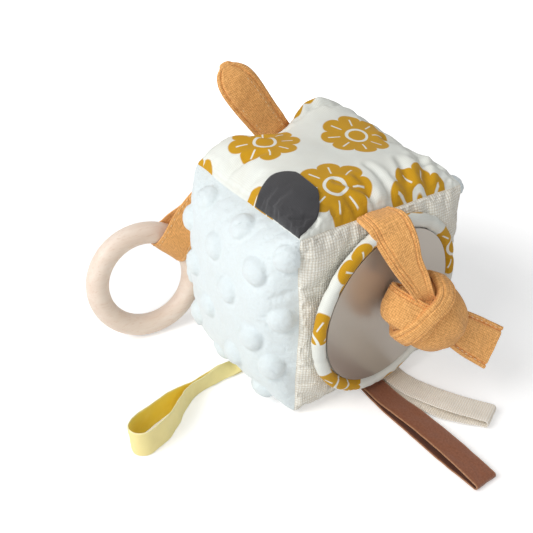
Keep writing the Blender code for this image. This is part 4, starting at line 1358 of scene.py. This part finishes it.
def make_camera():
    back = Vector((
        sin(CAMERA_TURN) * cos(CAMERA_RISE), -cos(CAMERA_TURN) * cos(CAMERA_RISE), sin(CAMERA_RISE),
    ))
    level = Vector((cos(CAMERA_TURN), sin(CAMERA_TURN), 0))
    upright = back.cross(level)
    right = level * cos(CAMERA_ROLL) + upright * sin(CAMERA_ROLL)
    up = upright * cos(CAMERA_ROLL) - level * sin(CAMERA_ROLL)
    eye = UP * CAMERA_AIM_HEIGHT + back * CAMERA_DISTANCE + right * CAMERA_ASIDE + up * CAMERA_LIFT
    lens = bpy.data.cameras.new("camera")
    lens.sensor_width = CAMERA_SENSOR
    lens.lens = CAMERA_LENS
    lens.clip_start = 0.01
    camera = add_to_scene("camera", lens)
    camera.matrix_world = Matrix.Translation(eye) @ Matrix((right, up, back)).transposed().to_4x4()
    bpy.context.scene.camera = camera


def seen_rays(tree):
    """One for rays from the camera, a mirror or clear glass, and nothing for the rest."""
    rays = add_node(tree, "ShaderNodeLightPath").socket.node.outputs
    camera, mirrored, clear = (
        Value(tree, rays["Is " + kind + " Ray"]) for kind in ("Camera", "Glossy", "Transmission")
    )
    return camera.work("MAXIMUM", mirrored).work("MAXIMUM", clear)


def make_lamp(name, place, aim, size, power):
    lamp = bpy.data.lights.new(name, "AREA")
    lamp.shape = "DISK"
    lamp.size = size
    lamp.energy = power
    item = add_to_scene(name, lamp)
    item.location = place
    item.rotation_euler = (Vector(aim) - Vector(place)).to_track_quat("-Z", "Y").to_euler()
    item.visible_camera = False


def make_room():
    world = bpy.data.worlds.new("soft_room")
    bpy.context.scene.world = world
    world.use_nodes = True
    tree = world.node_tree
    fill_in(tree, tree.nodes["Background"], {
        "Color": (1, 1, 1, 1), "Strength": seen_rays(tree) * 0.62 + 0.38,
    })
    make_lamp("window", (-0.75, 0.02, 0.69), (0, 0, 0.05), 0.6, 6.0)
    make_lamp("room_side", (-0.60, -0.80, 0.40), (0, 0, 0.05), 0.6, 1.6)
    bm = bmesh.new()
    bmesh.ops.create_grid(bm, x_segments=1, y_segments=1, size=2.5)
    mesh = mesh_from("floor", bm)
    floor = add_to_scene("floor", mesh)
    material, tree, shader = start_material("pale_floor")
    away = add_node(
        tree, "ShaderNodeVectorMath", {0: object_place(tree)}, output="Value", operation="LENGTH"
    )
    far = ((away - 0.16) * 3).clamped()
    fill_in(tree, shader, {
        "Base Color": (0.92, 0.92, 0.92, 1), "Roughness": 1.0, "Specular IOR Level": 0.0,
        "Emission Color": (1, 1, 1, 1), "Emission Strength": seen_rays(tree) * (far * 0.7 + 0.36),
    })
    mesh.materials.append(material)
    bpy.context.scene.view_settings.view_transform = "Standard"


make_camera()
stuffing = make_stuffing()
for face in PANELS:
    make_sheet(face)
for face, finish, slot in (
    ("top", "print", "printed_cotton"), ("front", "canvas", "canvas"), ("back", "canvas", "canvas"),
    ("bottom", "canvas", "canvas"), ("left", "plush", "dimple_plush"), ("right", "plush", "dimple_plush"),
):
    panel = make_panel(face, finish, slot, plush=finish == "plush")
make_disc("mirror_film", MIRROR_THICKNESS, 0, "mirror", "mirror_sheet", "mirror_disc")
backing = make_disc(
    "mirror_pad", MIRROR_PAD_THICKNESS, -MIRROR_THICKNESS - GAP, "fill", "wadding", "mirror_backing"
)
make_binding()
label = make_label()
make_tab()
make_ring()
make_ring_strap()
make_knot_strap()
make_knot()
make_knot_tail()
make_yellow_ribbon()
make_flat_ribbon(
    "brown_loop", "brown_ribbon", "brown", "brown_satin", BROWN_PIVOT, 81.0 * MM, 13.0 * MM, 2.0 * MM,
    (0, 0, 0.01, 0.005, -0.005), (0, 0, 0, 0, 0), 2.2 * MM,
)
make_flat_ribbon(
    "cream_loop", "cream_ribbon", "cream", "cream_grosgrain", CREAM_PIVOT, 56.5 * MM, 14.0 * MM,
    3.4 * MM, (0, 0, 0.03, 0.115, 0.31), (0, 0, 0.05, 0.10, 0.05), 2.0 * MM,
)
make_room()
